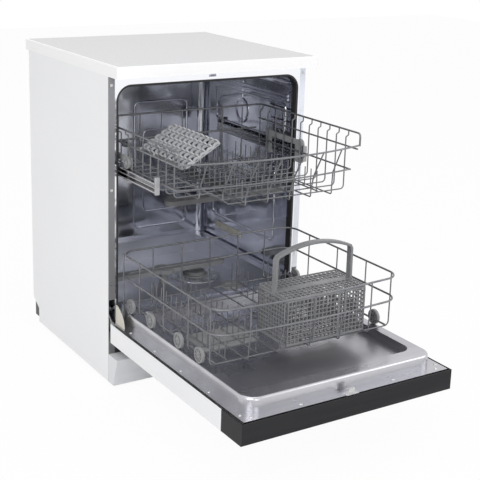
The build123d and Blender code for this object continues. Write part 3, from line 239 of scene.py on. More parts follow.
def makeDrift():
    # slow changes of colour and gloss over a surface, drawn out by Stretch
    tree, start, end = newGroup(
        "surfaceDrift",
        (
            ("Colour", "Color", (0.8, 0.8, 0.8, 1)),
            ("Second Colour", "Color", (0.7, 0.7, 0.7, 1)),
            ("Scale", "Float", 6.0),
            ("Stretch", "Vector", (1, 1, 1)),
            ("Roughness", "Float", 0.4),
            ("Spread", "Float", 0.1),
        ),
        (("Colour", "Color"), ("Roughness", "Float")),
    )
    noise = tree.nodes.new("ShaderNodeTexNoise")
    noise.inputs["Detail"].default_value = 4
    tree.links.new(stretchedPlace(tree, start.outputs["Stretch"]), noise.inputs["Vector"])
    tree.links.new(start.outputs["Scale"], noise.inputs["Scale"])
    ramp = tree.nodes.new("ShaderNodeMapRange")
    setRange(ramp, driftEdges)
    tree.links.new(noise.outputs[0], ramp.inputs["Value"])
    mask = ramp.outputs[0]
    colour = blendColours(tree, mask, start.outputs["Colour"], start.outputs["Second Colour"])
    tree.links.new(colour, end.inputs["Colour"])
    spreadRoughness(tree, start, mask, end)
    return tree


def makeGrain():
    # fine relief: moulded grain, orange peel or brushing, by its Stretch
    tree, start, end = newGroup(
        "fineGrain",
        (("Scale", "Float", 300.0), ("Stretch", "Vector", (1, 1, 1))),
        (("Height", "Float"),),
    )
    noise = tree.nodes.new("ShaderNodeTexNoise")
    noise.inputs["Detail"].default_value = 2
    tree.links.new(stretchedPlace(tree, start.outputs["Stretch"]), noise.inputs["Vector"])
    tree.links.new(start.outputs["Scale"], noise.inputs["Scale"])
    tree.links.new(noise.outputs[0], end.inputs["Height"])
    return tree


def makeRubbing():
    # handled and rubbed edges, from how sharply the surface turns
    tree, start, end = newGroup(
        "rubbedEdge",
        (
            ("Colour", "Color", (0.5, 0.5, 0.5, 1)),
            ("Rubbed Colour", "Color", (0.7, 0.7, 0.7, 1)),
            ("Amount", "Float", 0.3),
        ),
        (("Colour", "Color"),),
    )
    shape = tree.nodes.new("ShaderNodeNewGeometry")
    ramp = tree.nodes.new("ShaderNodeMapRange")
    setRange(ramp, rubbedEdges)
    tree.links.new(shape.outputs["Pointiness"], ramp.inputs["Value"])
    mask = mathNode(tree, "MULTIPLY", ramp.outputs[0], start.outputs["Amount"], True)
    colour = blendColours(tree, mask, start.outputs["Colour"], start.outputs["Rubbed Colour"])
    tree.links.new(colour, end.inputs["Colour"])
    return tree


def makeSpangle():
    # the crystal flowers of galvanised sheet
    tree, start, end = newGroup(
        "zincSpangle",
        (
            ("Colour", "Color", (0.6, 0.61, 0.62, 1)),
            ("Second Colour", "Color", (0.5, 0.51, 0.52, 1)),
            ("Scale", "Float", 90.0),
            ("Roughness", "Float", 0.4),
            ("Spread", "Float", 0.2),
        ),
        (("Colour", "Color"), ("Roughness", "Float")),
    )
    place = tree.nodes.new("ShaderNodeTexCoord")
    cells = tree.nodes.new("ShaderNodeTexVoronoi")
    tree.links.new(place.outputs["Object"], cells.inputs["Vector"])
    tree.links.new(start.outputs["Scale"], cells.inputs["Scale"])
    split = tree.nodes.new("ShaderNodeSeparateColor")
    tree.links.new(cells.outputs["Color"], split.inputs[0])
    first, second = start.outputs["Colour"], start.outputs["Second Colour"]
    tree.links.new(blendColours(tree, split.outputs[0], first, second), end.inputs["Colour"])
    spreadRoughness(tree, start, split.outputs[1], end)
    return tree


def makeBand():
    # a plain band round the outline of a board, with a thin dark line inside it, a painted shadow line
    # along the edges
    tree, start, end = newGroup(
        "edgeBand",
        (
            ("Colour", "Color", (0.7, 0.7, 0.7, 1)),
            ("Band Colour", "Color", (0.9, 0.9, 0.9, 1)),
            ("Shadow Line Colour", "Color", (0.3, 0.3, 0.3, 1)),
            ("Half Width", "Float", 0.3),
            ("Half Depth", "Float", 0.3),
            ("Middle", "Float", 0.3),
            ("Band", "Float", 0.007),
            ("Line", "Float", 0.0014),
        ),
        (("Colour", "Color"),),
    )
    place = tree.nodes.new("ShaderNodeTexCoord")
    split = tree.nodes.new("ShaderNodeSeparateXYZ")
    tree.links.new(place.outputs["Object"], split.inputs[0])
    across = mathNode(tree, "ABSOLUTE", split.outputs[0], 0.0)
    fromMiddle = mathNode(tree, "SUBTRACT", split.outputs[1], start.outputs["Middle"])
    deep = mathNode(tree, "ABSOLUTE", fromMiddle, 0.0)
    sideGap = mathNode(tree, "SUBTRACT", start.outputs["Half Width"], across)
    endGap = mathNode(tree, "SUBTRACT", start.outputs["Half Depth"], deep)
    gap = mathNode(tree, "MINIMUM", sideGap, endGap)
    inBand = mathNode(tree, "LESS_THAN", gap, start.outputs["Band"])
    shadowLineEnd = mathNode(tree, "ADD", start.outputs["Band"], start.outputs["Line"])
    inShadowLine = mathNode(tree, "LESS_THAN", gap, shadowLineEnd)
    shadowLined = blendColours(tree, inShadowLine, start.outputs["Colour"], start.outputs["Shadow Line Colour"])
    banded = blendColours(tree, inBand, shadowLined, start.outputs["Band Colour"])
    tree.links.new(banded, end.inputs["Colour"])
    return tree


def makeFrontLightShade():
    # painted light and shade: another colour on everything in front of a plane across the depth, fading
    # with height
    tree, start, end = newGroup(
        "frontPaintedLightShade",
        (
            ("Colour", "Color", (0.9, 0.9, 0.9, 1)),
            ("Upper Colour", "Color", (0.3, 0.3, 0.3, 1)),
            ("Lower Colour", "Color", (0.2, 0.2, 0.2, 1)),
            ("Front", "Float", 0.0535),
            ("Height", "Float", 0.82),
        ),
        (("Colour", "Color"),),
    )
    place = tree.nodes.new("ShaderNodeTexCoord")
    split = tree.nodes.new("ShaderNodeSeparateXYZ")
    tree.links.new(place.outputs["Object"], split.inputs[0])
    rise = mathNode(tree, "DIVIDE", split.outputs[2], start.outputs["Height"], True)
    frontLightShade = blendColours(tree, rise, start.outputs["Lower Colour"], start.outputs["Upper Colour"])
    ahead = mathNode(tree, "LESS_THAN", split.outputs[1], start.outputs["Front"])
    tree.links.new(blendColours(tree, ahead, start.outputs["Colour"], frontLightShade), end.inputs["Colour"])
    return tree


driftGroup = makeDrift()
grainGroup = makeGrain()
rubbingGroup = makeRubbing()
spangleGroup = makeSpangle()
bandGroup = makeBand()
frontLightShadeGroup = makeFrontLightShade()


def placeGroup(tree, group, values):
    node = tree.nodes.new("ShaderNodeGroup")
    node.node_tree = group
    for label, value in values.items():
        node.inputs[label].default_value = value
    return node


def rgba(colour):
    return (*colour, 1)


coatRoughness = 0.08


def surface(name, look):
    mat = bpy.data.materials.new(name)
    mat.use_nodes = True
    tree = mat.node_tree
    shader = tree.nodes["Principled BSDF"]
    shader.inputs["Metallic"].default_value = look.get("metallic", 0)
    shader.inputs["Specular IOR Level"].default_value = look.get("shine", 0.5)
    if "coat" in look:
        shader.inputs["Coat Weight"].default_value = look["coat"]
        shader.inputs["Coat Roughness"].default_value = coatRoughness
    values = {
        "Colour": rgba(look["colour"]),
        "Second Colour": rgba(look["second"]),
        "Scale": look["scale"],
        "Roughness": look["roughness"],
        "Spread": look["spread"],
    }
    if look.get("spangle"):
        cover = placeGroup(tree, spangleGroup, values)
    else:
        values["Stretch"] = look.get("stretch", (1, 1, 1))
        cover = placeGroup(tree, driftGroup, values)
    colour = cover.outputs["Colour"]
    if "rubbed" in look:
        wear = {"Rubbed Colour": rgba(look["rubbed"]), "Amount": look["rubbing"]}
        rubbing = placeGroup(tree, rubbingGroup, wear)
        tree.links.new(colour, rubbing.inputs["Colour"])
        colour = rubbing.outputs["Colour"]
    for key, group in (("band", bandGroup), ("frontLightShade", frontLightShadeGroup)):
        if key in look:
            marking = placeGroup(tree, group, look[key])
            tree.links.new(colour, marking.inputs["Colour"])
            colour = marking.outputs["Colour"]
    tree.links.new(colour, shader.inputs["Base Color"])
    tree.links.new(cover.outputs["Roughness"], shader.inputs["Roughness"])
    fine = {"Scale": look["grain"], "Stretch": look.get("brush", (1, 1, 1))}
    grain = placeGroup(tree, grainGroup, fine)
    bump = tree.nodes.new("ShaderNodeBump")
    bump.inputs["Strength"].default_value = look.get("relief", 0.3)
    bump.inputs["Distance"].default_value = look.get("depth", 0.0002)
    tree.links.new(grain.outputs["Height"], bump.inputs["Height"])
    tree.links.new(bump.outputs["Normal"], shader.inputs["Normal"])
    return mat


finishes = {}

paintLook = {
    "colour": (0.885, 0.89, 0.9),
    "second": (0.865, 0.87, 0.885),
    "scale": 2.5,
    "roughness": 0.32,
    "spread": 0.06,
    "grain": 420,
    "relief": 0.12,
    "depth": 0.0002,
}
finishes["cabinet_white"] = surface("cabinetWhite", paintLook)

worktopLook = {
    "colour": (0.67, 0.67, 0.68),
    "second": (0.64, 0.64, 0.65),
    "scale": 160,
    "roughness": 0.42,
    "spread": 0.1,
    "grain": 700,
    "relief": 0.12,
    "depth": 0.00015,
    "band": {
        "Band Colour": (0.93, 0.93, 0.94, 1),
        # painted shadow line along the worktop's edges
        "Shadow Line Colour": (0.30, 0.30, 0.31, 1),
        "Half Width": 0.299,
        "Half Depth": 0.3,
        "Middle": 0.2995,
    },
}
finishes["worktop_white"] = surface("worktopLaminate", worktopLook)

zincLook = {
    "colour": (0.60, 0.61, 0.62),
    "second": (0.49, 0.50, 0.51),
    "scale": 85,
    "roughness": 0.38,
    "spread": 0.22,
    "metallic": 0.9,
    "grain": 240,
    "relief": 0.15,
    "spangle": True,
}
finishes["zinc_sheet"] = surface("galvanisedSheet", zincLook)

tubLook = {
    "colour": (0.74, 0.75, 0.81),
    "second": (0.42, 0.43, 0.48),
    "scale": 2.6,
    "stretch": (1, 1, 0.45),
    "roughness": 0.1,
    "spread": 0.06,
    "metallic": 1.0,
    "grain": 6,
    "relief": 0.8,
    "depth": 0.005,
    # painted highlight: the tub's front flange brightened to near white, lighter towards the top
    "frontLightShade": {"Upper Colour": (0.96, 0.97, 1.0, 1), "Lower Colour": (0.74, 0.75, 0.78, 1)},
}
finishes["tub_steel"] = surface("polishedTub", tubLook)

gasketLook = {
    "colour": (0.014, 0.014, 0.016),
    "second": (0.025, 0.025, 0.028),
    "scale": 30,
    "roughness": 0.62,
    "spread": 0.15,
    "grain": 900,
    "relief": 0.4,
}
finishes["gasket_grey"] = surface("gasketRubber", gasketLook)

blackLook = {
    "colour": (0.018, 0.018, 0.02),
    "second": (0.03, 0.03, 0.032),
    "scale": 40,
    "roughness": 0.42,
    "spread": 0.15,
    "grain": 800,
    "relief": 0.35,
    "rubbed": (0.09, 0.09, 0.095),
    "rubbing": 0.3,
}
finishes["black_plastic"] = surface("blackPlastic", blackLook)

ballastLook = {
    "colour": (0.16, 0.155, 0.15),
    "second": (0.11, 0.105, 0.1),
    "scale": 26,
    "roughness": 0.75,
    "spread": 0.2,
    "metallic": 0.4,
    "grain": 260,
    "relief": 0.8,
    "depth": 0.0008,
}
finishes["ballast_iron"] = surface("castBallast", ballastLook)

greyLook = {
    "colour": (0.34, 0.345, 0.35),
    "second": (0.30, 0.305, 0.31),
    "scale": 20,
    "roughness": 0.45,
    "spread": 0.12,
    "grain": 700,
    "relief": 0.3,
}
finishes["grey_plastic"] = surface("greyPlastic", greyLook)

whiteLook = {
    "colour": (0.82, 0.82, 0.81),
    "second": (0.78, 0.78, 0.77),
    "scale": 18,
    "roughness": 0.36,
    "spread": 0.12,
    "grain": 700,
    "relief": 0.25,
}
finishes["white_plastic"] = surface("whitePlastic", whiteLook)

filterLook = {
    "colour": (0.62, 0.63, 0.64),
    "second": (0.50, 0.51, 0.52),
    "scale": 60,
    "roughness": 0.30,
    "spread": 0.15,
    "metallic": 1.0,
    "grain": 500,
    "relief": 0.35,
}
finishes["filter_steel"] = surface("filterSteel", filterLook)

springLook = {
    "colour": (0.44, 0.44, 0.45),
    "second": (0.34, 0.34, 0.35),
    "scale": 60,
    "roughness": 0.32,
    "spread": 0.15,
    "metallic": 1.0,
    "grain": 400,
    "relief": 0.2,
}
finishes["spring_steel"] = surface("springSteel", springLook)

screwLook = {
    "colour": (0.70, 0.70, 0.70),
    "second": (0.58, 0.58, 0.58),
    "scale": 120,
    "roughness": 0.28,
    "spread": 0.2,
    "metallic": 1.0,
    "grain": 900,
    "relief": 0.2,
}
finishes["screw_steel"] = surface("screwSteel", screwLook)

railLook = {
    "colour": (0.30, 0.305, 0.32),
    "second": (0.20, 0.205, 0.22),
    "scale": 12,
    "stretch": (1, 0.2, 6),
    "roughness": 0.14,
    "spread": 0.08,
    "metallic": 1.0,
    "grain": 60,
    "brush": (8, 0.4, 8),
    "relief": 0.25,
    "depth": 0.0003,
}
finishes["rail_steel"] = surface("railSteel", railLook)

fasciaLook = {
    "colour": (0.016, 0.016, 0.018),
    "second": (0.022, 0.022, 0.024),
    "scale": 8,
    "stretch": (0.3, 1, 6),
    "roughness": 0.42,
    "spread": 0.08,
    "shine": 0.18,
    "grain": 60,
    "brush": (0.6, 20, 30),
    "relief": 0.15,
    "depth": 0.0002,
}
finishes["fascia_black"] = surface("fasciaFinish", fasciaLook)

buttonLook = {
    "colour": (0.30, 0.30, 0.31),
    "second": (0.25, 0.25, 0.26),
    "scale": 60,
    "roughness": 0.35,
    "spread": 0.15,
    "metallic": 0.6,
    "grain": 600,
    "relief": 0.2,
}
finishes["button_grey"] = surface("buttonFinish", buttonLook)

displayLook = {
    "colour": (0.006, 0.007, 0.009),
    "second": (0.012, 0.013, 0.016),
    "scale": 30,
    "roughness": 0.08,
    "spread": 0.05,
    "coat": 1.0,
    "grain": 200,
    "relief": 0.02,
}
finishes["display_dark"] = surface("displayGlass", displayLook)

creamLook = {
    "colour": (0.72, 0.70, 0.62),
    "second": (0.67, 0.645, 0.56),
    "scale": 22,
    "roughness": 0.40,
    "spread": 0.12,
    "grain": 650,
    "relief": 0.3,
}
finishes["cream_plastic"] = surface("creamPlastic", creamLook)

wireLook = {
    "colour": (0.20, 0.203, 0.215),
    "second": (0.15, 0.153, 0.165),
    "scale": 30,
    "roughness": 0.27,
    "spread": 0.12,
    "metallic": 0.45,
    "grain": 350,
    "relief": 0.2,
    "rubbed": (0.36, 0.36, 0.37),
    "rubbing": 0.25,
}
finishes["rack_coating"] = surface("coatedWire", wireLook)

basketLook = {
    "colour": (0.20, 0.203, 0.212),
    "second": (0.165, 0.168, 0.177),
    "scale": 24,
    "roughness": 0.36,
    "spread": 0.14,
    "grain": 650,
    "relief": 0.3,
    "rubbed": (0.34, 0.34, 0.35),
    "rubbing": 0.3,
}
finishes["basket_grey"] = surface("basketPlastic", basketLook)

shelfLook = {
    "colour": (0.25, 0.255, 0.27),
    "second": (0.36, 0.365, 0.38),
    "scale": 40,
    "roughness": 0.16,
    "spread": 0.1,
    "coat": 0.6,
    "grain": 300,
    "relief": 0.3,
    "rubbed": (0.62, 0.62, 0.64),
    "rubbing": 0.4,
}
finishes["shelf_grey"] = surface("shelfPlastic", shelfLook)

wheelLook = {
    "colour": (0.24, 0.243, 0.25),
    "second": (0.20, 0.203, 0.21),
    "scale": 40,
    "roughness": 0.34,
    "spread": 0.14,
    "grain": 650,
    "relief": 0.3,
    "rubbed": (0.4, 0.4, 0.41),
    "rubbing": 0.5,
}
finishes["wheel_grey"] = surface("wheelPlastic", wheelLook)

# finishes of single nodes that differ from their slot's
ownFinishes = {}

linerLook = {
    "colour": (0.60, 0.60, 0.63),
    "second": (0.46, 0.46, 0.49),
    "scale": 3,
    "stretch": (0.4, 2.5, 1),
    "roughness": 0.27,
    "spread": 0.08,
    "metallic": 1.0,
    "grain": 90,
    "brush": (0.25, 6, 4),
    "relief": 0.25,
    "depth": 0.0004,
}
ownFinishes["door_liner"] = surface("brushedLiner", linerLook)

floorPanLook = {
    "colour": (0.68, 0.69, 0.74),
    "second": (0.58, 0.59, 0.64),
    "scale": 4,
    "roughness": 0.34,
    "spread": 0.1,
    "metallic": 1.0,
    "grain": 40,
    "relief": 0.2,
    "depth": 0.0005,
}
ownFinishes["tub_floor"] = surface("satinFloorPan", floorPanLook)

# painted shade: the upper spray arm and its duct made near black under the upper rack
armShadeLook = {
    "colour": (0.085, 0.086, 0.09),
    "second": (0.11, 0.111, 0.115),
    "scale": 22,
    "roughness": 0.40,
    "spread": 0.12,
    "grain": 700,
    "relief": 0.3,
}
ownFinishes["upper_spray_arm"] = surface("shadedArm", armShadeLook)
ownFinishes["upper_spray_duct"] = ownFinishes["upper_spray_arm"]

# painted shade: the plinth's white paint made darker than the cabinet's
plinthShadeLook = {**paintLook, "colour": (0.74, 0.75, 0.77), "second": (0.70, 0.71, 0.735)}
ownFinishes["plinth"] = surface("plinthShadedWhite", plinthShadeLook)

# painted shade on the side panels' front edges: dark grey on the left, darker towards the bottom, and
# bluish grey on the right
leftPanelShade = {"Upper Colour": (0.27, 0.27, 0.29, 1), "Lower Colour": (0.15, 0.15, 0.155, 1)}
rightPanelShade = {"Upper Colour": (0.80, 0.84, 0.92, 1), "Lower Colour": (0.84, 0.86, 0.9, 1)}
ownFinishes["side_panel_left"] = surface("leftPanelWhite", {**paintLook, "frontLightShade": leftPanelShade})
ownFinishes["side_panel_right"] = surface("rightPanelWhite", {**paintLook, "frontLightShade": rightPanelShade})
ownFinishes["door_latch"] = finishes["screw_steel"]


def dressNodes():
    plain = set()
    for name, node in nodes.items():
        for k, old in enumerate(node.data.materials):
            key = old.name.split(".")[0] if old else ""
            if key not in finishes:
                plain.add((name, key))
                continue
            node.data.materials[k] = ownFinishes.get(name, finishes[key])
    print("nodes dressed; without a finish:", sorted(plain))


dressNodes()


# how the new pieces are made: each is one mesh in the model's own coordinates
mm = 0.001  # metres in a millimetre
midDepth = 299.5  # millimetres from the origin back to the middle of the worktop


def cab(x, y, z):
    # a point given from the middle of the worktop, in millimetres
    return Vector((x, y + midDepth, z)) * mm


def midY(low, high):
    # the middle of a box's depth, in millimetres from the middle of the worktop
    return (low.y + high.y) / 2 / mm - midDepth


def rectangle(first, second):
    # the four corners of a rectangle, from its two spans
    (a0, a1), (b0, b1) = first, second
    return (a0, b0), (a1, b0), (a1, b1), (a0, b1)


def finishPiece(bm, name, body, finish, smooth=40, replaced=()):
    bmesh.ops.recalc_face_normals(bm, faces=bm.faces)
    mesh = bpy.data.meshes.new(name)
    bm.to_mesh(mesh)
    bm.free()
    piece = bpy.data.objects.new(name, mesh)
    bpy.context.scene.collection.objects.link(piece)
    mesh.materials.append(finishes[finish])
    mesh.shade_smooth()
    mesh.set_sharp_from_angle(angle=math.radians(smooth))
    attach(piece, body)
    for node in replaced:
        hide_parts(node)
    return piece


def joinRings(bm, rings, closed=False):
    # faces between neighbouring rings of corners, with caps where the row of rings is open
    size = len(rings[0])
    pairs = list(zip(rings, rings[1:]))
    if closed:
        pairs.append((rings[-1], rings[0]))
    else:
        bm.faces.new(rings[0][::-1])
        bm.faces.new(rings[-1])
    for first, second in pairs:
        for n in range(size):
            m = (n + 1) % size
            bm.faces.new((first[n], first[m], second[m], second[n]))


def addTube(bm, path, radius, sides=10, closed=False):
    count = len(path)
    turns = [2 * math.pi * n / sides for n in range(sides)]
    rings = []
    side = None
    for k, point in enumerate(path):
        before = path[k - 1] if k or closed else point
        after = path[(k + 1) % count] if k < count - 1 or closed else point
        along = (after - before).normalized()
        if side is None:
            side = along.orthogonal()
        side = (side - along * side.dot(along)).normalized()
        other = along.cross(side)
        spokes = [side * math.cos(t) + other * math.sin(t) for t in turns]
        rings.append([bm.verts.new(point + spoke * radius) for spoke in spokes])
    joinRings(bm, rings, closed)


strapShape = ((-1, -0.5), (-0.92, -1), (0.92, -1), (1, -0.5), (1, 0.5), (0.92, 1), (-0.92, 1), (-1, 0.5))


def addStrap(bm, path, across, halfWidth, halfThick):
    # a flat strap with rounded edges; its width runs the way of across
    last = len(path) - 1
    rings = []
    for k, point in enumerate(path):
        along = (path[min(k + 1, last)] - path[max(k - 1, 0)]).normalized()
        out = across.cross(along).normalized()
        ring = []
        for a, b in strapShape:
            ring.append(bm.verts.new(point + across * halfWidth * a + out * halfThick * b))
        rings.append(ring)
    joinRings(bm, rings)


def roundedLoop(points, bend, steps=7):
    # a closed path through the corners, each replaced by steps + 1 points of a smooth bend
    path = []
    for k, point in enumerate(points):
        first = point + (points[k - 1] - point).normalized() * bend
        last = point + (points[(k + 1) % len(points)] - point).normalized() * bend
        for n in range(steps + 1):
            t = n / steps
            path.append(first * (1 - t) ** 2 + point * 2 * t * (1 - t) + last * t * t)
    return path


def addLathe(bm, centre, axis, profile, sides=28):
    # a ring whose section is a closed loop of (distance from the axis, height) pairs in millimetres
    side = axis.orthogonal().normalized()
    other = axis.cross(side)
    rings = []
    for n in range(sides):
        turn = 2 * math.pi * n / sides
        out = side * math.cos(turn) + other * math.sin(turn)
        rings.append([bm.verts.new(centre + (out * r + axis * h) * mm) for r, h in profile])
    joinRings(bm, rings, True)


def addBlock(bm, low, high, bevel):
    # a box with rounded edges, between two opposite corners
    made = bmesh.ops.create_cube(bm, size=1)
    move = Matrix.Translation((low + high) / 2) @ Matrix.Diagonal((*(high - low), 1))
    bmesh.ops.transform(bm, matrix=move, verts=made["verts"])
    edges = list({edge for vert in made["verts"] for edge in vert.link_edges})
    bmesh.ops.bevel(bm, geom=edges, offset=bevel, segments=2, affect="EDGES", profile=0.6)


def addRib(bm, start, end, wide, tall):
    # a straight square rib; wide is across it and level, tall is the other way
    level = (end - start).cross(tall).normalized() * wide
    rings = []
    for point in (start, end):
        ring = []
        for a, b in rectangle((-1, 1), (-1, 1)):
            ring.append(bm.verts.new(point + level * a / 2 + tall * b / 2))
        rings.append(ring)
    joinRings(bm, rings)


rowShare = 0.94  # the rows of a lattice are this much thinner, so that no faces lie in one plane


def addLattice(bm, corner, along, up, columns, rows, thick, wide):
    # a moulded grid over the sheet from corner, with square ribs both ways
    out = along.cross(up).normalized()
    for n in range(columns + 1):
        start = corner + along * (n / columns)
        addRib(bm, start, start + up, wide, out * thick)
    for n in range(rows + 1):
        start = corner + up * (n / rows)
        addRib(bm, start, start + along, wide, out * thick * rowShare)


# tub: pressed frames on the rear and side walls, and two ridges and a round boss on each side
tubRelief = {
    "radius": 0.0044,
    "rearY": 262.8,
    "rearFrames": (((31, 214), (250, 648)), ((62, 184), (300, 560))),
    "rearBend": 0.018,
    "wallX": 276.8,
    "sideFrames": (((-190, 182), (598, 700)), ((-150, 190), (290, 500))),
    "sideBend": 0.016,
    "ridgeY": (-200, 204),
    "ridgeZ": (716, 726),
    "boss": (36, 647),
    "bossProfile": (
        (0.5, -1), (0.5, 0.6), (24, 0.6), (28, 2.6), (33, 3.8), (37, 2.4), (39, 0), (39, -1),
    ),
    "bossSides": 56,
}


def makeTubRelief(facts):
    bm = bmesh.new()
    radius, rearY = facts["radius"], facts["rearY"]
    for side in (-1, 1):
        for across, rise in facts["rearFrames"]:
            corners = [cab(side * x, rearY, z) for x, z in rectangle(across, rise)]
            addTube(bm, roundedLoop(corners, facts["rearBend"]), radius, closed=True)
        wall = side * facts["wallX"]
        for deep, rise in facts["sideFrames"]:
            corners = [cab(wall, y, z) for y, z in rectangle(deep, rise)]
            addTube(bm, roundedLoop(corners, facts["sideBend"]), radius, closed=True)
        for z in facts["ridgeZ"]:
            addTube(bm, [cab(wall, y, z) for y in facts["ridgeY"]], radius)
        inward = Vector((-side, 0, 0))
        addLathe(bm, cab(wall, *facts["boss"]), inward, facts["bossProfile"], facts["bossSides"])
    finishPiece(bm, "tubRelief", "cabinet", "tub_steel")


makeTubRelief(tubRelief)

# the folded seam in the groove between each track and the wall
floorSeam = {
    "wall": 2,
    "groove": 14,
    "ends": (37.5, 4.5),  # from the tub floor's front and rear edges
    "low": 180,
    "ledge": 203,
    "high": 208.6,
    "lip": 1,
    "slope": 3.5,
    "gap": 0.2,
}


def makeFloorSeam(facts):
    low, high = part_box("tub_floor")
    wall = high.x / mm - facts["wall"]
    outer, inner = wall - facts["gap"], wall - facts["groove"] + facts["gap"]
    y0 = low.y / mm - midDepth + facts["ends"][0]
    y1 = high.y / mm - midDepth - facts["ends"][1]
    foot, ledge, top = facts["low"], facts["ledge"], facts["high"]
    outline = (
        (inner, foot),
        (outer, foot),
        (outer, top),
        (outer - facts["lip"], top),
        (outer - facts["slope"], ledge),
        (inner, ledge),
    )
    bm = bmesh.new()
    for side in (-1, 1):
        rings = [[bm.verts.new(cab(side * x, y, z)) for x, z in outline] for y in (y0, y1)]
        joinRings(bm, rings)
    seam = finishPiece(bm, "floorSeam", "cabinet", "tub_steel", 25)
    seam.data.materials[0] = ownFinishes["tub_floor"]


makeFloorSeam(floorSeam)

gasketLips = {
    "half": 271.4,
    "top": 792.4,
    "low": 215,
    "corner": 0.037,
    "steps": 10,
    "lines": (-245.4, -238, -227),
    "radius": 0.0016,
}


def makeGasketLips(facts):
    # up one side, round the two upper corners and down the other side
    bm = bmesh.new()
    half, top, low, steps = facts["half"], facts["top"], facts["low"], facts["steps"]
    for y in facts["lines"]:
        corners = [cab(x, y, z) for x, z in ((-half, low), (-half, top), (half, top), (half, low))]
        path = roundedLoop(corners, facts["corner"], steps)
        upper = path[steps + 1:3 * (steps + 1)]
        addTube(bm, [corners[0], *upper, corners[3]], facts["radius"], 8)
    finishPiece(bm, "gasketLips", "cabinet", "gasket_grey")


makeGasketLips(gasketLips)

wallTrim = {
    "x": (271.5, 276.4),
    "y": (21, 168),
    "z": (249, 269),
    "plateIn": 1.6,
    "plateEdge": 0.0012,
    "fins": 9,
    "finEnds": (5, 3),
    "finMargin": 3,
    "finThick": 2.4,
    "finShare": 0.6,
    "finEdge": 0.0005,
}


def makeWallTrim(facts):
    bm = bmesh.new()
    (x0, x1), (y0, y1), (z0, z1) = facts["x"], facts["y"], facts["z"]
    addBlock(bm, cab(x0 + facts["plateIn"], y0, z0), cab(x1, y1, z1), facts["plateEdge"])
    pitch = (y1 - y0 - sum(facts["finEnds"])) / facts["fins"]
    margin, thick = facts["finMargin"], facts["finThick"]
    for n in range(facts["fins"]):
        start = y0 + facts["finEnds"][0] + pitch * n
        end = start + pitch * facts["finShare"]
        addBlock(bm, cab(x0, start, z0 + margin), cab(x0 + thick, end, z1 - margin), facts["finEdge"])
    finishPiece(bm, "wallTrim", "cabinet", "cream_plastic")


makeWallTrim(wallTrim)
print("tub pieces made")

# wheels: tyre, web, spokes and hub in place of the plain discs
lowerWheels = {"radius": 19.5, "axle": 4.05, "width": 8, "z": 229.8, "spokes": 8}
upperRollers = {"radius": 15, "axle": 3.05, "width": 8, "z": 607.2, "spokes": 6}
wheelForm = {
    "tyre": 0.78,  # the tyre's inner radius as a share of the wheel's
    "shoulder": 1,
    "round": 0.3,
    "bevel": 0.5,
    "hubWall": 2.6,
    "hubIn": 0.2,
    "web": 0.44,  # where the web begins as a share of the width
    "root": 0.6,  # how far the web and the spokes go into the tyre and the hub
    "spokeWide": 0.0017,
    "spokeIn": 0.7,
}


def bothHalves(half, width):
    # a closed section from one half of it, mirrored over the middle of the width
    return [*half, *((r, width - h) for r, h in reversed(half))]


def addWheel(bm, x0, y, facts, form):
    radius, axle, width = facts["radius"], facts["axle"], facts["width"]
    way = Vector((1, 0, 0))
    centre = cab(x0, y, facts["z"])
    rim, hub = radius * form["tyre"], axle + form["hubWall"]
    bevel, small, hubIn, root = form["bevel"], form["round"], form["hubIn"], form["root"]
    shoulder, web = form["shoulder"], width * form["web"]
    tyreHalf = (
        (rim, small),
        (rim + bevel, 0),
        (radius - shoulder, 0),
        (radius - small, small),
        (radius, shoulder),
    )
    hubHalf = ((axle, hubIn), (hub - bevel, hubIn), (hub, hubIn + bevel))
    webHalf = ((hub - root, web), (rim + root, web))
    for half in (tyreHalf, hubHalf, webHalf):
        addLathe(bm, centre, way, bothHalves(half, width), 40)
    middle = centre + way * (width / 2 * mm)
    tall = way * ((width - 2 * form["spokeIn"]) * mm)
    for n in range(facts["spokes"]):
        turn = 2 * math.pi * n / facts["spokes"]
        out = Vector((0, math.cos(turn), math.sin(turn))) * mm
        addRib(bm, middle + out * (hub - root), middle + out * (rim + root), form["spokeWide"], tall)


def makeWheels():
    for n in range(1, 5):
        name = f"lower_wheels_{n}"
        low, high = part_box(name)
        bm = bmesh.new()
        for x0 in (low.x / mm, high.x / mm - lowerWheels["width"]):
            addWheel(bm, x0, midY(low, high), lowerWheels, wheelForm)
        finishPiece(bm, f"spokedWheels{n}", name, "wheel_grey", 35, (name,))
    for side in ("left", "right"):
        for end in ("front", "rear"):
            name = f"upper_wheel_{side}_{end}"
            title = "roller" + side.capitalize() + end.capitalize()
            low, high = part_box(name)
            bm = bmesh.new()
            addWheel(bm, low.x / mm, midY(low, high), upperRollers, wheelForm)
            finishPiece(bm, title, name, "wheel_grey", 35, (name,))


makeWheels()
print("wheels made")

# cutlery basket: a fine moulded lattice with posts, rims and an arched handle
basket = {
    "x": (-56, 176),
    "y": (-707, -581),
    "z": (229.8, 346),
    "cells": 3,
}
basketLattice = {
    "pitch": 11.4,
    "rise": 11,
    "rib": 0.0024,
    "inset": 1.4,
    "ends": 5,
    "wall": 0.0022,
    "divider": 0.0018,
    "floor": 0.002,
}
basketFrame = {
    "lowRim": (3, 0.0026),  # distance from the lower edge in millimetres, and radius
    "topRim": (4.2, 0.0032),
    "rimBend": 0.006,
    "postIn": (2.6, 2.2),  # a post's middle from the basket's sides, across and deep
    "postHalf": (2.4, 2),
    "postEnds": (1, 2),  # from the basket's lower and upper edge
    "postEdge": 0.0008,
    "barIn": 1,
    "barZ": (-6, 3.9),  # from the basket's upper edge
    "barEdge": 0.0014,
}
basketHandle = {
    "y": (-653, -635),
    "top": 461,
    "foot": (4, -4),  # distance from the basket's end, and height over its upper edge
    "leg": (4.6, 40),
    "shoulder": (5, 34),  # distance from the basket's end, and drop from the top
    "drop": 4.2,
    "sag": 24,
    "steps": 25,
    "slim": 0.0004,
    "halfThick": 0.0034,
}


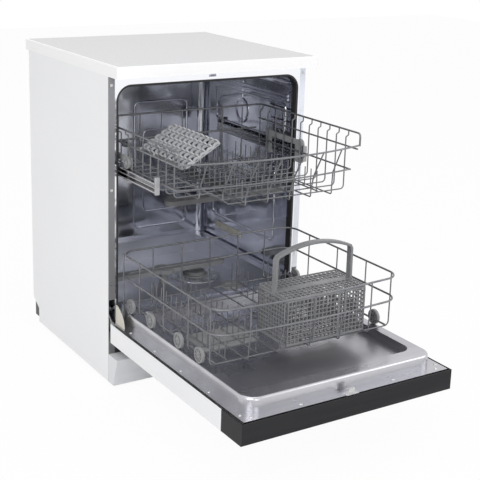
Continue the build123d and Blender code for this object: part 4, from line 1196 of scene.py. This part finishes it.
def makeBasketLattice(box, facts):
    (x0, x1), (y0, y1), (z0, z1) = box["x"], box["y"], box["z"]
    inset, rib, foot = facts["inset"], facts["rib"], z0 + facts["ends"]
    width, depth, rise = x1 - x0 - 2 * inset, y1 - y0 - 2 * inset, z1 - z0 - 2 * facts["ends"]
    columns, deep = round(width / facts["pitch"]), round(depth / facts["pitch"])
    rows = round(rise / facts["rise"])
    along, across, up = Vector((width, 0, 0)) * mm, Vector((0, depth, 0)) * mm, Vector((0, 0, rise)) * mm
    bm = bmesh.new()
    for y in (y0 + inset, y1 - inset):
        addLattice(bm, cab(x0 + inset, y, foot), along, up, columns, rows, facts["wall"], rib)
    for x in (x0 + inset, x1 - inset):
        addLattice(bm, cab(x, y0 + inset, foot), across, up, deep, rows, facts["wall"], rib)
    for n in range(1, box["cells"]):
        x = x0 + (x1 - x0) * n / box["cells"]
        corner = cab(x, y0 + inset, foot)
        addLattice(bm, corner, across, up, deep // 2, rows // 2, facts["divider"], rib)
    corner = cab(x0 + inset, y0 + inset, z0 + inset)
    addLattice(bm, corner, along, across, columns, deep, facts["floor"], rib)
    finishPiece(bm, "basketLattice", "cutlery_basket", "basket_grey", 30, ("cutlery_basket",))


def makeBasketFrame(box, facts, handle):
    (x0, x1), (y0, y1), (z0, z1) = box["x"], box["y"], box["z"]
    (lowUp, lowRadius), (topDown, topRadius) = facts["lowRim"], facts["topRim"]
    bm = bmesh.new()
    for z, radius in ((z0 + lowUp, lowRadius), (z1 - topDown, topRadius)):
        edge = radius / mm
        spans = rectangle((x0 + edge, x1 - edge), (y0 + edge, y1 - edge))
        corners = [cab(x, y, z) for x, y in spans]
        addTube(bm, roundedLoop(corners, facts["rimBend"], 5), radius, 12, True)
    (inX, inY), (halfX, halfY) = facts["postIn"], facts["postHalf"]
    postLow, postHigh = z0 + facts["postEnds"][0], z1 - facts["postEnds"][1]
    for n in range(box["cells"] + 1):
        x = x0 + inX + (x1 - x0 - 2 * inX) * n / box["cells"]
        for y in (y0 + inY, y1 - inY):
            low, high = cab(x - halfX, y - halfY, postLow), cab(x + halfX, y + halfY, postHigh)
            addBlock(bm, low, high, facts["postEdge"])
    low = cab(x0 + facts["barIn"], handle["y"][0], z1 + facts["barZ"][0])
    high = cab(x1 - facts["barIn"], handle["y"][1], z1 + facts["barZ"][1])
    addBlock(bm, low, high, facts["barEdge"])
    finishPiece(bm, "basketFrame", "cutlery_basket", "basket_grey", 40)


def makeBasketHandle(box, facts):
    (x0, x1), rim = box["x"], box["z"][1]
    (footIn, footUp), (legIn, legUp), (topIn, topDown) = facts["foot"], facts["leg"], facts["shoulder"]
    leg = ((footIn, rim + footUp), (legIn, rim + legUp), (topIn, facts["top"] - topDown))
    middleX, middleY, half = (x0 + x1) / 2, sum(facts["y"]) / 2, (x1 - x0) / 2 - topIn
    path = [cab(x0 + inset, middleY, z) for inset, z in leg]
    for n in range(facts["steps"]):
        share = (2 * n + 1) / facts["steps"] - 1
        height = facts["top"] - facts["drop"] - facts["sag"] * share ** 2
        path.append(cab(middleX + half * share, middleY, height))
    path += [cab(x1 - inset, middleY, z) for inset, z in reversed(leg)]
    halfWidth = (facts["y"][1] - facts["y"][0]) / 2 * mm - facts["slim"]
    bm = bmesh.new()
    addStrap(bm, path, Vector((0, 1, 0)), halfWidth, facts["halfThick"])
    finishPiece(bm, "basketHandle", "cutlery_basket", "basket_grey", 50)


makeBasketLattice(basket, basketLattice)
makeBasketFrame(basket, basketFrame, basketHandle)
makeBasketHandle(basket, basketHandle)

flaps = {"thick": 0.0034, "rib": 0.0028, "columns": 17, "rows": 4}


def makeFlap(name, title, facts):
    low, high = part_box(name)
    bm = bmesh.new()
    edge = facts["thick"] / 2
    corner = Vector((low.x + edge, low.y + edge, (low.z + high.z) / 2))
    along = Vector((high.x - low.x - 2 * edge, 0, 0))
    across = Vector((0, high.y - low.y - 2 * edge, 0))
    addLattice(bm, corner, along, across, facts["columns"], facts["rows"], facts["thick"], facts["rib"])
    finishPiece(bm, title, name, "basket_grey", 30, (name,))


makeFlap("basket_flap_front", "flapLatticeFront", flaps)
makeFlap("basket_flap_rear", "flapLatticeRear", flaps)
print("basket made")

# cup shelf: a deep waffle with a rounded rim, on the rod at the rack's left side
cupShelf = {
    "hinge": (-242.5, 648),
    "y": (-537, -312),
    "reach": 107,
    "tilt": 30,
    "ends": 2,
    "shorter": 6,  # how much less the waffle reaches than the shelf's solid
    "root": 0.004,
    "depth": 0.0076,
    "rowDepth": 0.8,  # the depth of the straps across, as a share of the others'
    "columns": 5,
    "rows": 10,
    "rib": 0.0034,
    "arch": 0.0045,
    "sink": 0.0033,  # keeps the arches off the rack's wires when the shelf is folded up
    "rimShare": 0.62,
    "rimBend": 0.006,
    "rimRadius": 0.0017,
    "collars": (4.5, 81, 144, 214.5),  # from the shelf's front end
    "collarProfile": ((2.1, 0), (4.4, 0), (4.6, 0.4), (4.6, 5.6), (4.4, 6), (2.1, 6)),
}


def scallops(root, run, lift, cells, steps=6):
    # a path that arches once over each cell
    count = cells * steps
    return [root + run * (n / count) + lift * abs(math.sin(math.pi * n / steps)) for n in range(count + 1)]


def makeCupShelf(facts):
    tilt = math.radians(facts["tilt"])
    x, z = facts["hinge"]
    y0, y1 = facts["y"]
    ends, columns, rows = facts["ends"], facts["columns"], facts["rows"]
    way = Vector((math.cos(tilt), 0, math.sin(tilt)))
    reach = way * (facts["reach"] - facts["shorter"]) * mm
    length = Vector((0, y1 - y0 - 2 * ends, 0)) * mm
    out = reach.cross(length).normalized()
    start = cab(x, y0 + ends, z) + way * facts["root"] - out * facts["sink"]
    half, halfRib, arch = facts["depth"] / 2, facts["rib"] / 2, out * facts["arch"]
    bm = bmesh.new()
    for n in range(columns + 1):
        path = scallops(start + reach * (n / columns), length, arch, rows)
        addStrap(bm, path, out, half, halfRib)
    for n in range(rows + 1):
        path = scallops(start + length * (n / rows), reach, arch, columns)
        addStrap(bm, path, out, half * facts["rowDepth"], halfRib)
    corners = [start, start + reach, start + reach + length, start + length]
    for side in (-1, 1):
        loop = [corner + out * side * half * facts["rimShare"] for corner in corners]
        addTube(bm, roundedLoop(loop, facts["rimBend"], 6), facts["rimRadius"], closed=True)
    for place in facts["collars"]:
        addLathe(bm, cab(x, y0 + place, z), Vector((0, 1, 0)), facts["collarProfile"], 24)
    finishPiece(bm, "waffleShelf", "cup_shelf", "shelf_grey", 40, ("cup_shelf",))


makeCupShelf(cupShelf)
print("cup shelf made")

# screw heads: a low dome with a cross recess, in place of the plain discs
screwRows = {
    "door_screws": {"body": "door", "axis": (0, 0, 1)},
    "cabinet_screws": {"body": "cabinet", "axis": (0, 1, 0)},
}
screwForm = {
    "arm": 0.56,  # shares of the head's radius
    "slim": 0.15,
    "deep": 0.35,  # share of the head's height
    "dome": ((1, 0), (1, 0.45), (0.86, 0.85), (0.66, 1)),
}


def looseParts(mesh):
    # the separate islands of a mesh, as lists of corner places
    bm = bmesh.new()
    bm.from_mesh(mesh)
    bmesh.ops.remove_doubles(bm, verts=bm.verts, dist=1e-6)
    bm.verts.ensure_lookup_table()
    seen = set()
    islands = []
    for first in bm.verts:
        if first.index in seen:
            continue
        seen.add(first.index)
        todo, island = [first], []
        while todo:
            vert = todo.pop()
            island.append(vert.co.copy())
            for edge in vert.link_edges:
                other = edge.other_vert(vert)
                if other.index not in seen:
                    seen.add(other.index)
                    todo.append(other)
        islands.append(island)
    bm.free()
    return islands


def addScrew(bm, base, way, radius, rise, form):
    # seen from outside: a bevelled edge, a dome, and a cross sunk into it
    side = way.orthogonal().normalized()
    other = way.cross(side)
    arm, slim = radius * form["arm"], radius * form["slim"]
    ways = (side, other, -side, -other)
    cross = []
    for turn in range(4):
        c, d = ways[turn], ways[(turn + 1) % 4]
        cross += [c * arm - d * slim, c * arm, c * arm + d * slim, c * slim + d * slim]
    rings = []
    for share, lift in form["dome"]:
        ring = []
        for point in cross:
            out = point.normalized() * radius * share
            ring.append(bm.verts.new(base + out + way * (rise * lift)))
        rings.append(ring)
    for lift in (rise, rise * form["deep"]):
        rings.append([bm.verts.new(base + point + way * lift) for point in cross])
    joinRings(bm, rings)


def makeScrews(rows):
    middle = (cadLow + cadHigh) / 2
    for name, facts in rows.items():
        bm = bmesh.new()
        axis = Vector(facts["axis"])
        for island in looseParts(nodes[name].data):
            low = Vector([min(point[k] for point in island) for k in range(3)])
            high = Vector([max(point[k] for point in island) for k in range(3)])
            centre, size = (low + high) / 2, high - low
            # a cabinet screw faces the end of the machine that it is nearer to
            ahead = facts["body"] == "door" or centre.y > middle.y
            way = axis if ahead else -axis
            level = [size[k] for k in range(3) if not axis[k]]
            depth = size.dot(axis)
            addScrew(bm, centre - way * depth / 2, way, min(level) / 2, depth, screwForm)
        title = "".join(word.capitalize() for word in name.split("_"))
        finishPiece(bm, "heads" + title, facts["body"], "screw_steel", 30, (name,))


makeScrews(screwRows)
print("screws made")

# end caps and ribs on the upper rails, nozzles on the spray arms
railCaps = {
    "x": (258.7, 269.4),
    "z": (563, 606),
    "front": {"rail_left": (-1, -446), "rail_right": (1, -309)},
    "over": 0.3,
    "faceY": (-0.6, 4.5),  # from the rail's front end
    "faceEdge": 0.0012,
    "coreIn": 1.6,
    "coreY": (4, 9),
    "coreZ": (4, -14),  # from the rail's lower and upper edge
    "coreEdge": 0.0008,
    "ribZ": (568.5, 579, 589.5),
    "ribY": (6, 458),
    "ribRadius": 0.0011,
}


def makeRailCaps(facts):
    z0, z1 = facts["z"]
    over, coreIn = facts["over"], facts["coreIn"]
    for name, (side, front) in facts["front"].items():
        x0, x1 = sorted(side * x for x in facts["x"])
        faceY, coreY, ribY = ([front + y for y in facts[key]] for key in ("faceY", "coreY", "ribY"))
        coreZ = (z0 + facts["coreZ"][0], z1 + facts["coreZ"][1])
        bm = bmesh.new()
        low, high = cab(x0 - over, faceY[0], z0 - over), cab(x1 + over, faceY[1], z1 + over)
        addBlock(bm, low, high, facts["faceEdge"])
        low, high = cab(x0 + coreIn, coreY[0], coreZ[0]), cab(x1 - coreIn, coreY[1], coreZ[1])
        addBlock(bm, low, high, facts["coreEdge"])
        title = "Left" if side < 0 else "Right"
        finishPiece(bm, "railCap" + title, name, "shelf_grey", 35)
        bm = bmesh.new()
        for x in facts["x"]:
            for z in facts["ribZ"]:
                addTube(bm, [cab(side * x, y, z) for y in ribY], facts["ribRadius"], 8)
        finishPiece(bm, "railRibs" + title, name, "screw_steel", 60)


makeRailCaps(railCaps)

nozzles = {
    "upper_arm": {"place": (0, -330, 510), "reach": (60, 95, 130, 165)},
    "lower_arm": {"place": (0, 5, 202), "reach": (60, 98, 136, 174, 196)},
}
nozzleForm = {
    "offset": 5,
    "profile": ((1.8, -1.2), (5.4, -1.2), (5.4, -0.4), (4.6, -0.15), (2.6, -0.15), (1.8, -0.6)),
}


def makeNozzles(rows, form):
    # two rows on each arm, in turn before and behind its middle
    up = Vector((0, 0, 1))
    for body, facts in rows.items():
        x, y, z = facts["place"]
        bm = bmesh.new()
        for side in (-1, 1):
            for k, reach in enumerate(facts["reach"]):
                offset = form["offset"] if k % 2 else -form["offset"]
                addLathe(bm, cab(x + side * reach, y + side * offset, z), up, form["profile"], 20)
        finishPiece(bm, body.replace("_arm", "") + "Nozzles", body, "black_plastic", 35)


makeNozzles(nozzles, nozzleForm)
print("caps and nozzles made")
